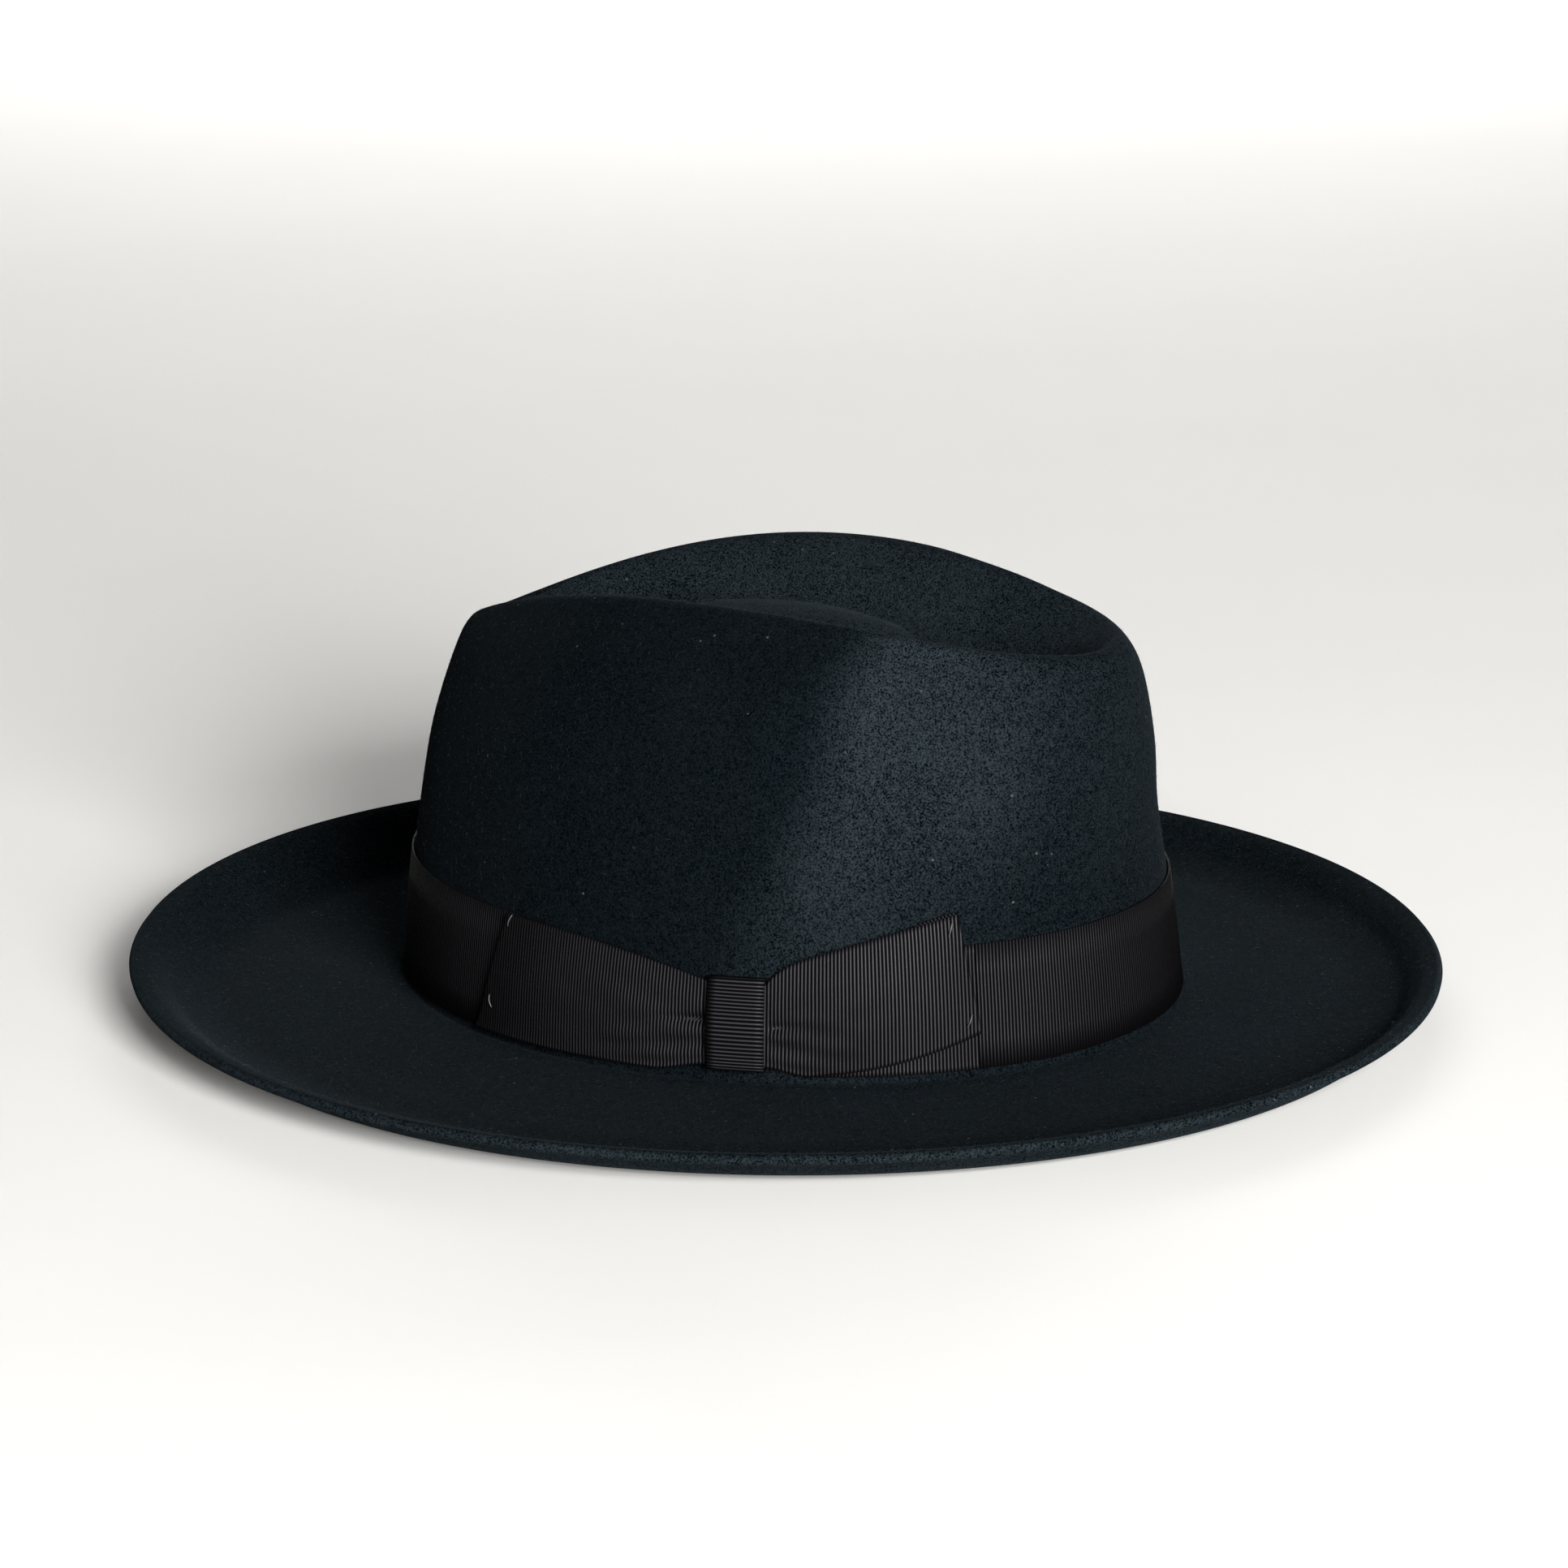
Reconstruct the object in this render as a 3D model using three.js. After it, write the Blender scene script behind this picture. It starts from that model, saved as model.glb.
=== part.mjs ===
// A fedora in blocked wool felt, with a grosgrain band, a flat side bow and a reeded sweatband inside.
// Millimetres, +Z up. The wearer faces -Y and the wearer's left is +X. The brim rests on z = 0, and the
// origin lies under the middle of the brim.
import * as THREE from "three";
import { mergeVertices } from "three/addons/utils/BufferGeometryUtils.js";

// ---- Driving dimensions ----
const FELT = 2.6; // thickness of the felt, crown and brim alike
// Half axes of the crown's outside where it meets the brim.
const HEAD = { length: 103, width: 86, forward: 2.2 };
// The brim's widths in plan, and the height where the crown starts.
const BRIM = { ends: 64, sides: 71, breakHeight: 4.4 };
const EDGE_ROUND = 0.8; // how far the cut edge bulges
const EDGE = { front: 9.9, side: 10.9, back: 14.7 }; // heights of the brim's edge
const LIP = { width: 10.5, rise: 5.8 }; // the pressed, turned-up edge
const CROWN = { side: 109.2, front: 99.5, back: 89.5, forward: 4.6 }; // heights of the ridge above the table
const RIDGE = { length: 90, width: 41 }; // half axes of the ridge in plan
// The two front dents: degrees from the front, how far they reach to the nose and to the rear, the
// degrees by which the rear edge drifts back towards the band, and the depth in mm.
const PINCH = { angle: 52, noseSide: 13, rearSide: 13, trail: 16, depth: 8.5 };
const CHANNEL = { length: 62, width: 21, side: 91, end: 82 }; // the groove inside the ridge
const ISLAND = { length: 33, width: 13, height: 100, forward: 6 }; // the low dome inside the groove
const RIBBON = { width: 30, thick: 0.6, foot: 6.2 }; // the band's grosgrain, and the height of its lower edge
// Where the bow sits, the lengths of its wings, the thickness of a folded wing and how far it puffs out.
const BOW = { angle: 68.7, rear: 59.6, front: 46.1, ply: 1.4, puff: 0.9 };
const WAIST = { foot: 3.2, head: 22.2 }; // the gathered ribbon, in heights above the band's edge
const TUCK = 0.8; // how far the under ribbon stays below the wings' upper edges
const REAR_WING = { reach: 9 }; // how much further the lower corner reaches than the upper one
// The same, how far the end stands above the band, and how far its lower corner is off the band's edge.
const FRONT_WING = { reach: 4.5, lift: 6.5, foot: 9.5 };
const KEEPER = { width: 13.8, thick: 0.7 }; // the strap round the bow's waist
const KEEPER_EASE = 0.5; // how loosely the keeper goes round the gathered ribbon
const LAP = { front: 4, rear: -1 }; // how far past the wings' ends the band meets the bow's under ribbon
const SWEATBAND = { width: 34, thick: 0.9, seam: 0.8 };
const REED = { radius: 1.1 };
const THREAD = 0.45; // radius of the sewing thread
const TACK = { inset: 2.2, half: 1.1, lean: 0.3 };
const LABEL = { width: 22, height: 12, thick: 0.35, angle: 160, foot: 10 };
const SEAM_TAB = { width: 9, thick: 0.6, foot: 6, head: 31 };
const BACK_BOW = { length: 9, height: 5, thick: 0.8, knot: 3, knotHalf: 2.4, knotThick: 1.2, below: 9 };
const GAP = 0.35; // clearance kept between touching pieces

// ---- Small helpers ----
const rad = THREE.MathUtils.degToRad;
const mix = THREE.MathUtils.lerp;
const ease = (x, a, b) => THREE.MathUtils.smoothstep(x, a, b);
const V = (x, y, z) => new THREE.Vector3(x, y, z);

// Degrees from the front, folded onto 0 to 180 so that both sides are alike.
const fromFront = (phi) => (Math.acos(Math.cos(phi)) * 180) / Math.PI;
const bump = (x, centre, spread) => Math.exp(-(((x - centre) / spread) ** 2));

// ---- The blocked shape: one smooth top face from the brim's edge to the middle of the crown ----
const brimRing = (share, z) => ({
  length: HEAD.length + share * BRIM.ends,
  width: HEAD.width + share * BRIM.sides,
  forward: HEAD.forward * (1 - share),
  z: typeof z === "number" ? () => z : z,
  dent: 0,
});
const edgeHeight = (phi) => {
  const end = mix(EDGE.back, EDGE.front, (1 + Math.cos(phi)) / 2);
  return mix(end, EDGE.side, (1 - Math.cos(2 * phi)) / 2);
};
const lip = (drop) => (phi) => mix(edgeHeight(phi), edgeHeight(phi) - LIP.rise, drop);
const ridgeHeight = (phi) => {
  const end = mix(CROWN.back, CROWN.front, (1 + Math.cos(phi)) / 2);
  return mix(end, CROWN.side, (1 - Math.cos(2 * phi)) / 2);
};
const channelHeight = (phi) =>
  mix(CHANNEL.end, CHANNEL.side, (1 - Math.cos(2 * phi)) / 2);
const wallTop = RIBBON.foot + RIBBON.width;
const wallHeight = (share, below = 0) => (phi) =>
  mix(wallTop, ridgeHeight(phi), share) - below;
const islandHeight = (below) => (phi) =>
  ISLAND.height - below * (1 + 0.6 * Math.abs(Math.cos(phi)));
// A share of the way from the ridge's size to the channel's.
const toChannel = (key, share) => mix(RIDGE[key], CHANNEL[key], share);

const lipStart = 1 - LIP.width / BRIM.sides;
const flat = FELT; // the brim's top face where its underside lies on the table
const ring = (length, width, forward, z, dent = 0) => ({ length, width, forward, z, dent });

// From the brim's edge to the middle of the crown. Brim rings give their share of the brim's width, and
// crown rings step in from the head's, the ridge's or the channel's half axes. The last value is the share
// of the dents' depth that the ring takes.
const RINGS = [
  brimRing(1, lip(0)),
  brimRing(mix(lipStart, 1, 0.66), lip(0.16)),
  brimRing(mix(lipStart, 1, 0.34), lip(0.52)),
  brimRing(lipStart, lip(1)),
  brimRing(lipStart - 0.08, (phi) => mix(flat, lip(1)(phi), 0.35)),
  brimRing(0.68, flat),
  brimRing(0.56, flat),
  brimRing(0.44, flat),
  brimRing(0.28, mix(flat, BRIM.breakHeight, 0.25)),
  brimRing(0.12, mix(flat, BRIM.breakHeight, 0.62)),
  brimRing(0.025, BRIM.breakHeight),
  ring(HEAD.length - 0.4, HEAD.width - 0.4, HEAD.forward, () => RIBBON.foot),
  ring(HEAD.length - 1.8, HEAD.width - 2.4, HEAD.forward, () => mix(RIBBON.foot, wallTop, 0.5)),
  ring(HEAD.length - 3.4, HEAD.width - 4.8, HEAD.forward, () => wallTop, 0.1),
  ring(HEAD.length - 5, HEAD.width - 9, HEAD.forward, wallHeight(0.27), 0.55),
  ring(HEAD.length - 5.6, HEAD.width - 15.5, (HEAD.forward + CROWN.forward) / 2, wallHeight(0.54), 1),
  ring(HEAD.length - 7.8, HEAD.width - 25, CROWN.forward, wallHeight(0.8), 1),
  ring(RIDGE.length + 4, RIDGE.width + 6.5, CROWN.forward, wallHeight(1, 3.4), 0.45),
  ring(RIDGE.length, RIDGE.width, CROWN.forward, wallHeight(1), 0.2),
  ring(RIDGE.length - 5.5, RIDGE.width - 5.5, CROWN.forward, wallHeight(1, 2.8), 0.1),
  ring(toChannel("length", 0.5), toChannel("width", 0.55), CROWN.forward, wallHeight(1, 9)),
  ring(CHANNEL.length + 4, CHANNEL.width + 4, CROWN.forward, (phi) => channelHeight(phi) + 1.4),
  ring(CHANNEL.length - 5, CHANNEL.width - 2, CROWN.forward, (phi) => channelHeight(phi)),
  ring(CHANNEL.length - 15, CHANNEL.width - 6.5, CROWN.forward, (phi) => channelHeight(phi) + 2.2),
  ring(ISLAND.length, ISLAND.width, ISLAND.forward - 1, islandHeight(2.5)),
  ring(ISLAND.length / 2, ISLAND.width / 2, ISLAND.forward, islandHeight(0.6)),
  ring(0, 0, ISLAND.forward, () => ISLAND.height),
];
const LAST = RINGS.length - 1;
const WALL_FOOT = 11; // rings at the band's lower and upper edges
const WALL_TOP = 13;
const LAID = { from: 5, to: 7 }; // rings whose underside lies flat on the table

// How far the dents push a ring in: soft towards the nose, with a crisper edge at the rear.
function dentAt(phi, share) {
  const behind = fromFront(phi) - PINCH.angle;
  const rearSide = PINCH.rearSide + PINCH.trail * (1 - share);
  const fall = behind < 0 ? (behind / PINCH.noseSide) ** 2 : (behind / rearSide) ** 4;
  return PINCH.depth * share * Math.exp(-fall);
}

function ringPoint(r, phi) {
  const push = dentAt(phi, r.dent);
  const x = -r.width * Math.sin(phi);
  const y = -r.length * Math.cos(phi);
  const keep = 1 - push / Math.max(Math.hypot(x, y), 1);
  return V(x * keep, y * keep - r.forward, r.z(phi));
}

const profiles = new Map();
function profile(phi) {
  const key = phi.toFixed(7);
  if (!profiles.has(key)) {
    const points = RINGS.map((r) => ringPoint(r, phi));
    profiles.set(key, new THREE.CatmullRomCurve3(points, false, "catmullrom", 0.5));
  }
  return profiles.get(key);
}
const onFace = (phi, level) => profile(phi).getPoint(level / LAST);

// The outward normal of the top face.
function normalAt(phi, level) {
  const d = 0.01;
  if (level > LAST - 0.02) return V(0, 0, 1);
  const around = onFace(phi + d, level).sub(onFace(phi - d, level));
  const inward = onFace(phi, Math.min(level + d, LAST)).sub(onFace(phi, Math.max(level - d, 0)));
  return inward.cross(around).normalize();
}

// A point at a height above the felt's outside, or below it where the height is negative.
const overFelt = (phi, level, height) =>
  onFace(phi, level).addScaledVector(normalAt(phi, level), height);

// ---- Mesh building ----
// Joins rows of points into one closed skin. Rows that are single points are poles.
function skin(rows, closedRows) {
  const position = [];
  const index = [];
  const starts = rows.map((row) => {
    const start = position.length / 3;
    row.forEach((p) => position.push(p.x, p.y, p.z));
    return start;
  });
  const count = closedRows ? rows.length : rows.length - 1;
  for (let i = 0; i < count; i++) {
    const j = (i + 1) % rows.length;
    const n = Math.max(rows[i].length, rows[j].length);
    const at = (k, m) => starts[k] + (rows[k].length === 1 ? 0 : m % n);
    for (let m = 0; m < n; m++) {
      const [a, b, c, d] = [at(i, m), at(i, m + 1), at(j, m + 1), at(j, m)];
      if (a !== b) index.push(a, b, c);
      if (c !== d) index.push(a, c, d);
    }
  }
  const geometry = new THREE.BufferGeometry();
  geometry.setAttribute("position", new THREE.Float32BufferAttribute(position, 3));
  geometry.setIndex(index);
  return facingOut(geometry);
}

// Turns every face round if the skin's volume comes out negative.
function facingOut(geometry) {
  const p = geometry.attributes.position;
  const index = geometry.index.array;
  const corner = (i) => V().fromBufferAttribute(p, index[i]);
  let volume = 0;
  for (let i = 0; i < index.length; i += 3)
    volume += corner(i).dot(corner(i + 1).cross(corner(i + 2)));
  for (let i = 0; volume < 0 && i < index.length; i += 3) {
    [index[i], index[i + 1]] = [index[i + 1], index[i]];
  }
  geometry.computeVertexNormals();
  return geometry;
}

// A strip of cloth: point(u, v, height) over a grid, between an inner and an outer height.
function cloth(point, across, along, inner, outer) {
  const rows = [];
  for (let i = 0; i <= along; i++) {
    const u = i / along;
    const loop = [];
    for (let j = 0; j <= across; j++) loop.push(point(u, j / across, outer(u, j / across)));
    for (let j = across; j >= 0; j--) loop.push(point(u, j / across, inner(u, j / across)));
    rows.push(loop);
  }
  const middle = (row) => [row.reduce((sum, p) => sum.add(p), V(0, 0, 0)).divideScalar(row.length)];
  return skin([middle(rows[0]), ...rows, middle(rows[along])], false);
}

// A cord of round section along a list of points.
function cord(points, radius, sides, closed) {
  const curve = new THREE.CatmullRomCurve3(points, closed);
  const shape = new THREE.Shape(
    Array.from({ length: sides }, (_, i) => {
      const turn = (i / sides) * 2 * Math.PI;
      return new THREE.Vector2(radius * Math.cos(turn), radius * Math.sin(turn));
    }),
  );
  const geometry = new THREE.ExtrudeGeometry(shape, { steps: points.length, extrudePath: curve });
  geometry.deleteAttribute("normal");
  geometry.deleteAttribute("uv");
  return mergeVertices(geometry, 1e-3);
}

// ---- Places on the wall: distance along the band from the bow's middle, and height up the ribbon ----
const STEPS = 720;
const bandLevel = (WALL_FOOT + WALL_TOP) / 2;
const travel = [0];
for (let i = 1; i <= STEPS; i++) {
  const [a, b] = [i - 1, i].map((k) => onFace((k / STEPS) * 2 * Math.PI, bandLevel));
  travel.push(travel[i - 1] + a.distanceTo(b));
}
const distanceAt = (phi) => {
  const s = (phi / (2 * Math.PI)) * STEPS;
  const i = Math.min(Math.floor(s), STEPS - 1);
  return mix(travel[i], travel[i + 1], s - i);
};
function angleAt(distance) {
  let i = 0;
  while (i < STEPS - 1 && travel[i + 1] < distance) i++;
  return ((i + (distance - travel[i]) / (travel[i + 1] - travel[i])) / STEPS) * 2 * Math.PI;
}
const bowPlace = distanceAt(rad(BOW.angle));
const lapFront = BOW.front + KEEPER.width / 2 + LAP.front;
const lapRear = BOW.rear + KEEPER.width / 2 + LAP.rear;
const ribbonLevel = (h) => WALL_FOOT + ((WALL_TOP - WALL_FOOT) * h) / RIBBON.width;

// x runs from the bow's middle towards the front, h up from the band's lower edge.
const onWall = (x, h, height) => overFelt(angleAt(bowPlace - x), ribbonLevel(h), height);

// ---- The pieces ----
// Levels from one ring to another in equal steps, both ends included.
const levels = (from, to, step) =>
  Array.from({ length: Math.round((to - from) / step) + 1 }, (_, i) => from + i * step);

function feltBody() {
  const around = 60;
  const innermost = LAST - 1.8;
  const topLevels = [...levels(0, 16, 1), ...levels(16.5, 19, 0.5), ...levels(20, 23, 1), innermost];
  const underLevels = [...levels(0, 23, 1), innermost];
  const row = (level, height) =>
    Array.from({ length: around }, (_, i) => overFelt((i / around) * 2 * Math.PI, level, height));
  const lay = (level) => {
    const points = row(level, -FELT);
    if (level >= LAID.from && level <= LAID.to) points.forEach((p) => p.setZ(0));
    return points;
  };
  const edge = Array.from({ length: around }, (_, i) => {
    const phi = (i / around) * 2 * Math.PI;
    const out = V(-Math.sin(phi), -Math.cos(phi), 0);
    return overFelt(phi, 0, -FELT / 2).addScaledVector(out, EDGE_ROUND);
  });
  const top = [V(0, -ISLAND.forward, ISLAND.height)];
  const under = [V(0, -ISLAND.forward, ISLAND.height - FELT)];
  const outside = topLevels.reverse().map((level) => row(level, 0));
  const inside = underLevels.map(lay);
  return skin([top, ...outside, edge, ...inside, under], false);
}

function hatBand() {
  const start = bowPlace - lapFront - GAP;
  const end = bowPlace + lapRear + GAP - travel[STEPS];
  const point = (u, v, height) => {
    const d = mix(start, end, u);
    return overFelt(angleAt(d < 0 ? d + travel[STEPS] : d), ribbonLevel(v * RIBBON.width), height);
  };
  return cloth(point, 2, 56, () => GAP, () => GAP + RIBBON.thick);
}

// The bow's edges, at a share `run` of the way from the waist to the end of the front (1) or rear (-1) side.
const reachOf = (side) => (side > 0 ? BOW.front : BOW.rear);
const opening = (run) => 1 - (1 - run) ** 2.4;
const footOf = (run) => WAIST.foot * (1 - ease(run, 0, 0.22));
const runTo = (x, length) => THREE.MathUtils.clamp((Math.abs(x) - KEEPER.width / 2) / length, 0, 1);

// The under ribbon stays hidden behind the wings' upper edges until it meets the band.
function bowBase() {
  const point = (u, v, height) => {
    const x = mix(lapFront, -lapRear, u);
    const run = runTo(x, reachOf(x));
    const head = mix(WAIST.head, RIBBON.width, opening(run)) - TUCK * (1 - ease(run, 0.75, 1));
    return onWall(x, mix(footOf(run), head, v), height);
  };
  return cloth(point, 2, 28, () => GAP, () => GAP + RIBBON.thick);
}

// A wing is a flat tab from the waist to its end. The rear one stays on the band, and the front one lifts.
const openingFront = (run) => 0.3 * (1 - Math.exp(-run / 0.08)) + 0.7 * run;
const wingHead = (side, run) =>
  side > 0
    ? mix(WAIST.head, RIBBON.width + FRONT_WING.lift, openingFront(run))
    : mix(WAIST.head, RIBBON.width, opening(run));
const wingFoot = (side, run) => footOf(run) + (side > 0 ? FRONT_WING.foot * run ** 1.7 : 0);

function bowWing(side) {
  const reach = reachOf(side);
  const slant = side > 0 ? FRONT_WING.reach : REAR_WING.reach;
  const inner = 2 * GAP + RIBBON.thick;
  const point = (u, v, height) => {
    const x = side * (GAP / 2 + u * (reach + KEEPER.width / 2) + slant * (1 - v) * u);
    const run = runTo(x, reach + slant * (1 - v));
    return onWall(x, mix(wingFoot(side, run), wingHead(side, run), v), height);
  };
  const puff = (u, v) => inner + BOW.ply + BOW.puff * Math.sin(Math.PI * v) * bump(u, 0.45, 0.25);
  return cloth(point, 4, 16, () => inner, puff);
}

function bowKeeper() {
  const face = 3 * GAP + RIBBON.thick + BOW.ply;
  const top = WAIST.head + KEEPER_EASE;
  const foot = WAIST.foot - KEEPER_EASE;
  // A hook of strap in section: over the waist, then back to the felt above and below it.
  const outline = [
    [foot - GAP - KEEPER.thick, GAP],
    [foot - GAP - KEEPER.thick, face + KEEPER.thick * 0.6],
    [foot - GAP, face + KEEPER.thick],
    [(foot + top) / 2, face + KEEPER.thick + BOW.puff],
    [top + GAP, face + KEEPER.thick],
    [top + GAP + KEEPER.thick, face + KEEPER.thick * 0.6],
    [top + GAP + KEEPER.thick, GAP],
    [top + GAP, GAP],
    [top + GAP, face],
    [(foot + top) / 2, face + BOW.puff],
    [foot - GAP, face],
    [foot - GAP, GAP],
  ];
  const steps = 4;
  const rows = [];
  for (let i = 0; i <= steps; i++) {
    const x = KEEPER.width * (i / steps - 0.5);
    rows.push(outline.map(([h, height]) => onWall(x, h, height)));
  }
  return prism(rows, outline);
}

// Closes rows of one outline into a solid, with flat ends cut into triangles.
function prism(rows, outline) {
  const flatOutline = outline.map(([h, height]) => new THREE.Vector2(h, height));
  const faces = THREE.ShapeUtils.triangulateShape(flatOutline, []);
  const area = THREE.ShapeUtils.area;
  const sameWay = area(faces[0].map((i) => flatOutline[i])) * area(flatOutline) > 0;
  const n = outline.length;
  const position = rows.flat().flatMap((p) => [p.x, p.y, p.z]);
  const index = [];
  for (let i = 0; i < rows.length - 1; i++)
    for (let m = 0; m < n; m++) {
      const [a, b] = [i * n + m, i * n + ((m + 1) % n)];
      index.push(a, b, b + n, a, b + n, a + n);
    }
  const last = (rows.length - 1) * n;
  faces.forEach((face) => {
    const [p, q, r] = sameWay ? face : [...face].reverse();
    index.push(r, q, p, last + p, last + q, last + r);
  });
  const geometry = new THREE.BufferGeometry();
  geometry.setAttribute("position", new THREE.Float32BufferAttribute(position, 3));
  geometry.setIndex(index);
  return facingOut(geometry);
}

// A tack: one short bar of thread lying on a wing's corner.
function tack(x, h) {
  const height = 3 * GAP + RIBBON.thick + BOW.ply + THREAD;
  const along = [-1, -0.5, 0, 0.5, 1].map((k) => k * TACK.half);
  const points = along.map((step) => onWall(x + step * TACK.lean, h + step, height));
  return cord(points, THREAD, 6, false);
}

const insideFelt = -(FELT + GAP);
function sweatband() {
  const half = SWEATBAND.seam / 2 / HEAD.width;
  const point = (u, v, height) => {
    const phi = Math.PI + half + u * (2 * Math.PI - 2 * half);
    return overFelt(phi, ribbonLevel(v * SWEATBAND.width), height);
  };
  const band = insideFelt - SWEATBAND.thick;
  return cloth(point, 2, 60, () => band, () => insideFelt);
}

// A cord lying in a ring round the head.
function ringCord(level, depth, radius, sides) {
  const n = 56;
  const points = Array.from({ length: n }, (_, i) => overFelt((i / n) * 2 * Math.PI, level, depth));
  const rows = points.map((p, i) => {
    const ahead = points[(i + 1) % n].clone().sub(points[(i + n - 1) % n]).setZ(0).normalize();
    const side = V(ahead.y, -ahead.x, 0);
    return Array.from({ length: sides }, (_, k) => {
      const turn = (k / sides) * 2 * Math.PI;
      const rise = V(0, 0, radius * Math.sin(turn));
      return p.clone().addScaledVector(side, radius * Math.cos(turn)).add(rise);
    });
  });
  return skin(rows, true);
}
const reedLevel = WALL_FOOT - 0.62; // just below the sweatband's lower edge
const sweatbandReed = () => ringCord(reedLevel, insideFelt - REED.radius, REED.radius, 8);
const threadLevel = WALL_FOOT + 0.16; // just above that edge
const seamThread = () =>
  ringCord(threadLevel, insideFelt - SWEATBAND.thick - GAP - THREAD, THREAD, 6);

// A small flat piece laid on the inside of the sweatband.
function innerPatch(angle, width, low, high, thick, lift) {
  const half = width / 2 / HEAD.length;
  const point = (u, v, height) =>
    overFelt(rad(angle) + mix(-half, half, u), ribbonLevel(mix(low, high, v)), height);
  const back = insideFelt - SWEATBAND.thick - GAP - lift;
  return cloth(point, 2, 4, () => back - thick, () => back);
}
const seamTab = () =>
  innerPatch(180, SEAM_TAB.width, SEAM_TAB.foot, SEAM_TAB.head, SEAM_TAB.thick, 0);
const backBowLift = SEAM_TAB.thick + GAP;
const backBowMid = SWEATBAND.width - BACK_BOW.below;
function backBowLoop(side) {
  const reach = BACK_BOW.length / HEAD.width;
  const start = (BACK_BOW.knot / 2 + GAP) / HEAD.width;
  const point = (u, v, height) => {
    const open = BACK_BOW.height * mix(0.35, 1, ease(u, 0, 1));
    const h = backBowMid + open * (v - 0.5) * 1.4;
    return overFelt(Math.PI + side * mix(start, start + reach, u), ribbonLevel(h), height);
  };
  const back = insideFelt - SWEATBAND.thick - GAP - backBowLift;
  return cloth(point, 2, 4, () => back - BACK_BOW.thick, () => back);
}
function backBowTie() {
  const width = BACK_BOW.knot * (HEAD.length / HEAD.width);
  const [low, high] = [-1, 1].map((k) => backBowMid + k * BACK_BOW.knotHalf);
  return innerPatch(180, width, low, high, BACK_BOW.knotThick, backBowLift);
}
const sizeLabel = () =>
  innerPatch(LABEL.angle, LABEL.width, LABEL.foot, LABEL.foot + LABEL.height, LABEL.thick, 0);

// ---- Materials and assembly ----
const material = (color, roughness) => new THREE.MeshStandardMaterial({ color, roughness, metalness: 0 });
const felt = material(0x14191d, 0.95);
const grosgrain = material(0x1c1b1e, 0.55);
const leather = material(0x1b1715, 0.5);
const threadBlack = material(0x26262a, 0.6);
const reedPlastic = material(0x2a2622, 0.4);
const labelCloth = material(0xd8d4c8, 0.8);

const hat = new THREE.Group();
const add = (name, geometry, look) => {
  const mesh = new THREE.Mesh(geometry, look);
  mesh.name = name;
  hat.add(mesh);
};

add("felt_body", feltBody(), felt);
add("hat_band", hatBand(), grosgrain);
add("bow_base", bowBase(), grosgrain);
add("bow_rear_wing", bowWing(-1), grosgrain);
add("bow_front_wing", bowWing(1), grosgrain);
add("bow_keeper", bowKeeper(), grosgrain);
const endOf = (side) => side * (reachOf(side) + KEEPER.width / 2 - TACK.inset);
const frontHead = RIBBON.width + FRONT_WING.lift;
add("rear_tack_upper", tack(endOf(-1), RIBBON.width - 2.5), threadBlack);
add("rear_tack_lower", tack(endOf(-1) - REAR_WING.reach * 0.75, RIBBON.width / 4), threadBlack);
add("front_tack_upper", tack(endOf(1), frontHead - 3.5), threadBlack);
add("front_tack_lower", tack(endOf(1) + FRONT_WING.reach * 0.8, FRONT_WING.foot + 3.5), threadBlack);
add("sweatband", sweatband(), leather);
add("sweatband_reed", sweatbandReed(), reedPlastic);
add("sweatband_thread", seamThread(), threadBlack);
add("sweatband_seam_tab", seamTab(), leather);
add("back_bow_left_loop", backBowLoop(-1), grosgrain);
add("back_bow_right_loop", backBowLoop(1), grosgrain);
add("back_bow_tie", backBowTie(), grosgrain);
add("size_label", sizeLabel(), labelCloth);

export default hat;
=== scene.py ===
# %% [markdown]
# # A felt fedora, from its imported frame
# This file builds the visible hat around a frame that was made in CAD. The frame gives the size and place of
# every piece. Here each piece gets its real surface: pressed wool felt, ribbed grosgrain ribbon, sewing
# thread and thin leather. One metre is one unit, +Z is up, and the wearer would face -Y.

# %% Load the frame
import math

import bpy
import numpy as np
from mathutils import Matrix, Vector


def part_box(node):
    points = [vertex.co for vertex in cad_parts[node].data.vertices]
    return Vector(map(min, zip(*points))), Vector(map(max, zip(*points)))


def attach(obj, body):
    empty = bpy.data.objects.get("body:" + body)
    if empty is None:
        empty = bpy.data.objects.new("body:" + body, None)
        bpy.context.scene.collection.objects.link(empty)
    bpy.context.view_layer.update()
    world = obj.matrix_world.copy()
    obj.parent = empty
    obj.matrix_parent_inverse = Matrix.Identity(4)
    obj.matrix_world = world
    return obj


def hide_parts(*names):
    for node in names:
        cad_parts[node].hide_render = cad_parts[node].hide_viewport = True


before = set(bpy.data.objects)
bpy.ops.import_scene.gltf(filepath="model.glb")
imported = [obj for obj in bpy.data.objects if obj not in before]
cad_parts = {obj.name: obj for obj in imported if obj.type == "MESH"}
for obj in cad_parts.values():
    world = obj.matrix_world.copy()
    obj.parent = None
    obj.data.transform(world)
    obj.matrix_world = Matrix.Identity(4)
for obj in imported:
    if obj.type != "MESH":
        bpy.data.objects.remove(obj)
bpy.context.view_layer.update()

MM = 0.001
scene = bpy.context.scene
felt_low, felt_high = (np.array(corner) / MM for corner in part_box("felt_body"))
print("felt box in mm", felt_low.round(1), felt_high.round(1))

# %% [markdown]
# ## The camera
# A camera needs a place, a direction and a lens. A long lens from 1.4 m away keeps the hat's ellipses calm.
# The camera looks at the hat from its bow side and a little above, and it is tipped up so that the hat sits
# low in the frame. That is done by turning it, so no lens shift is needed.

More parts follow.
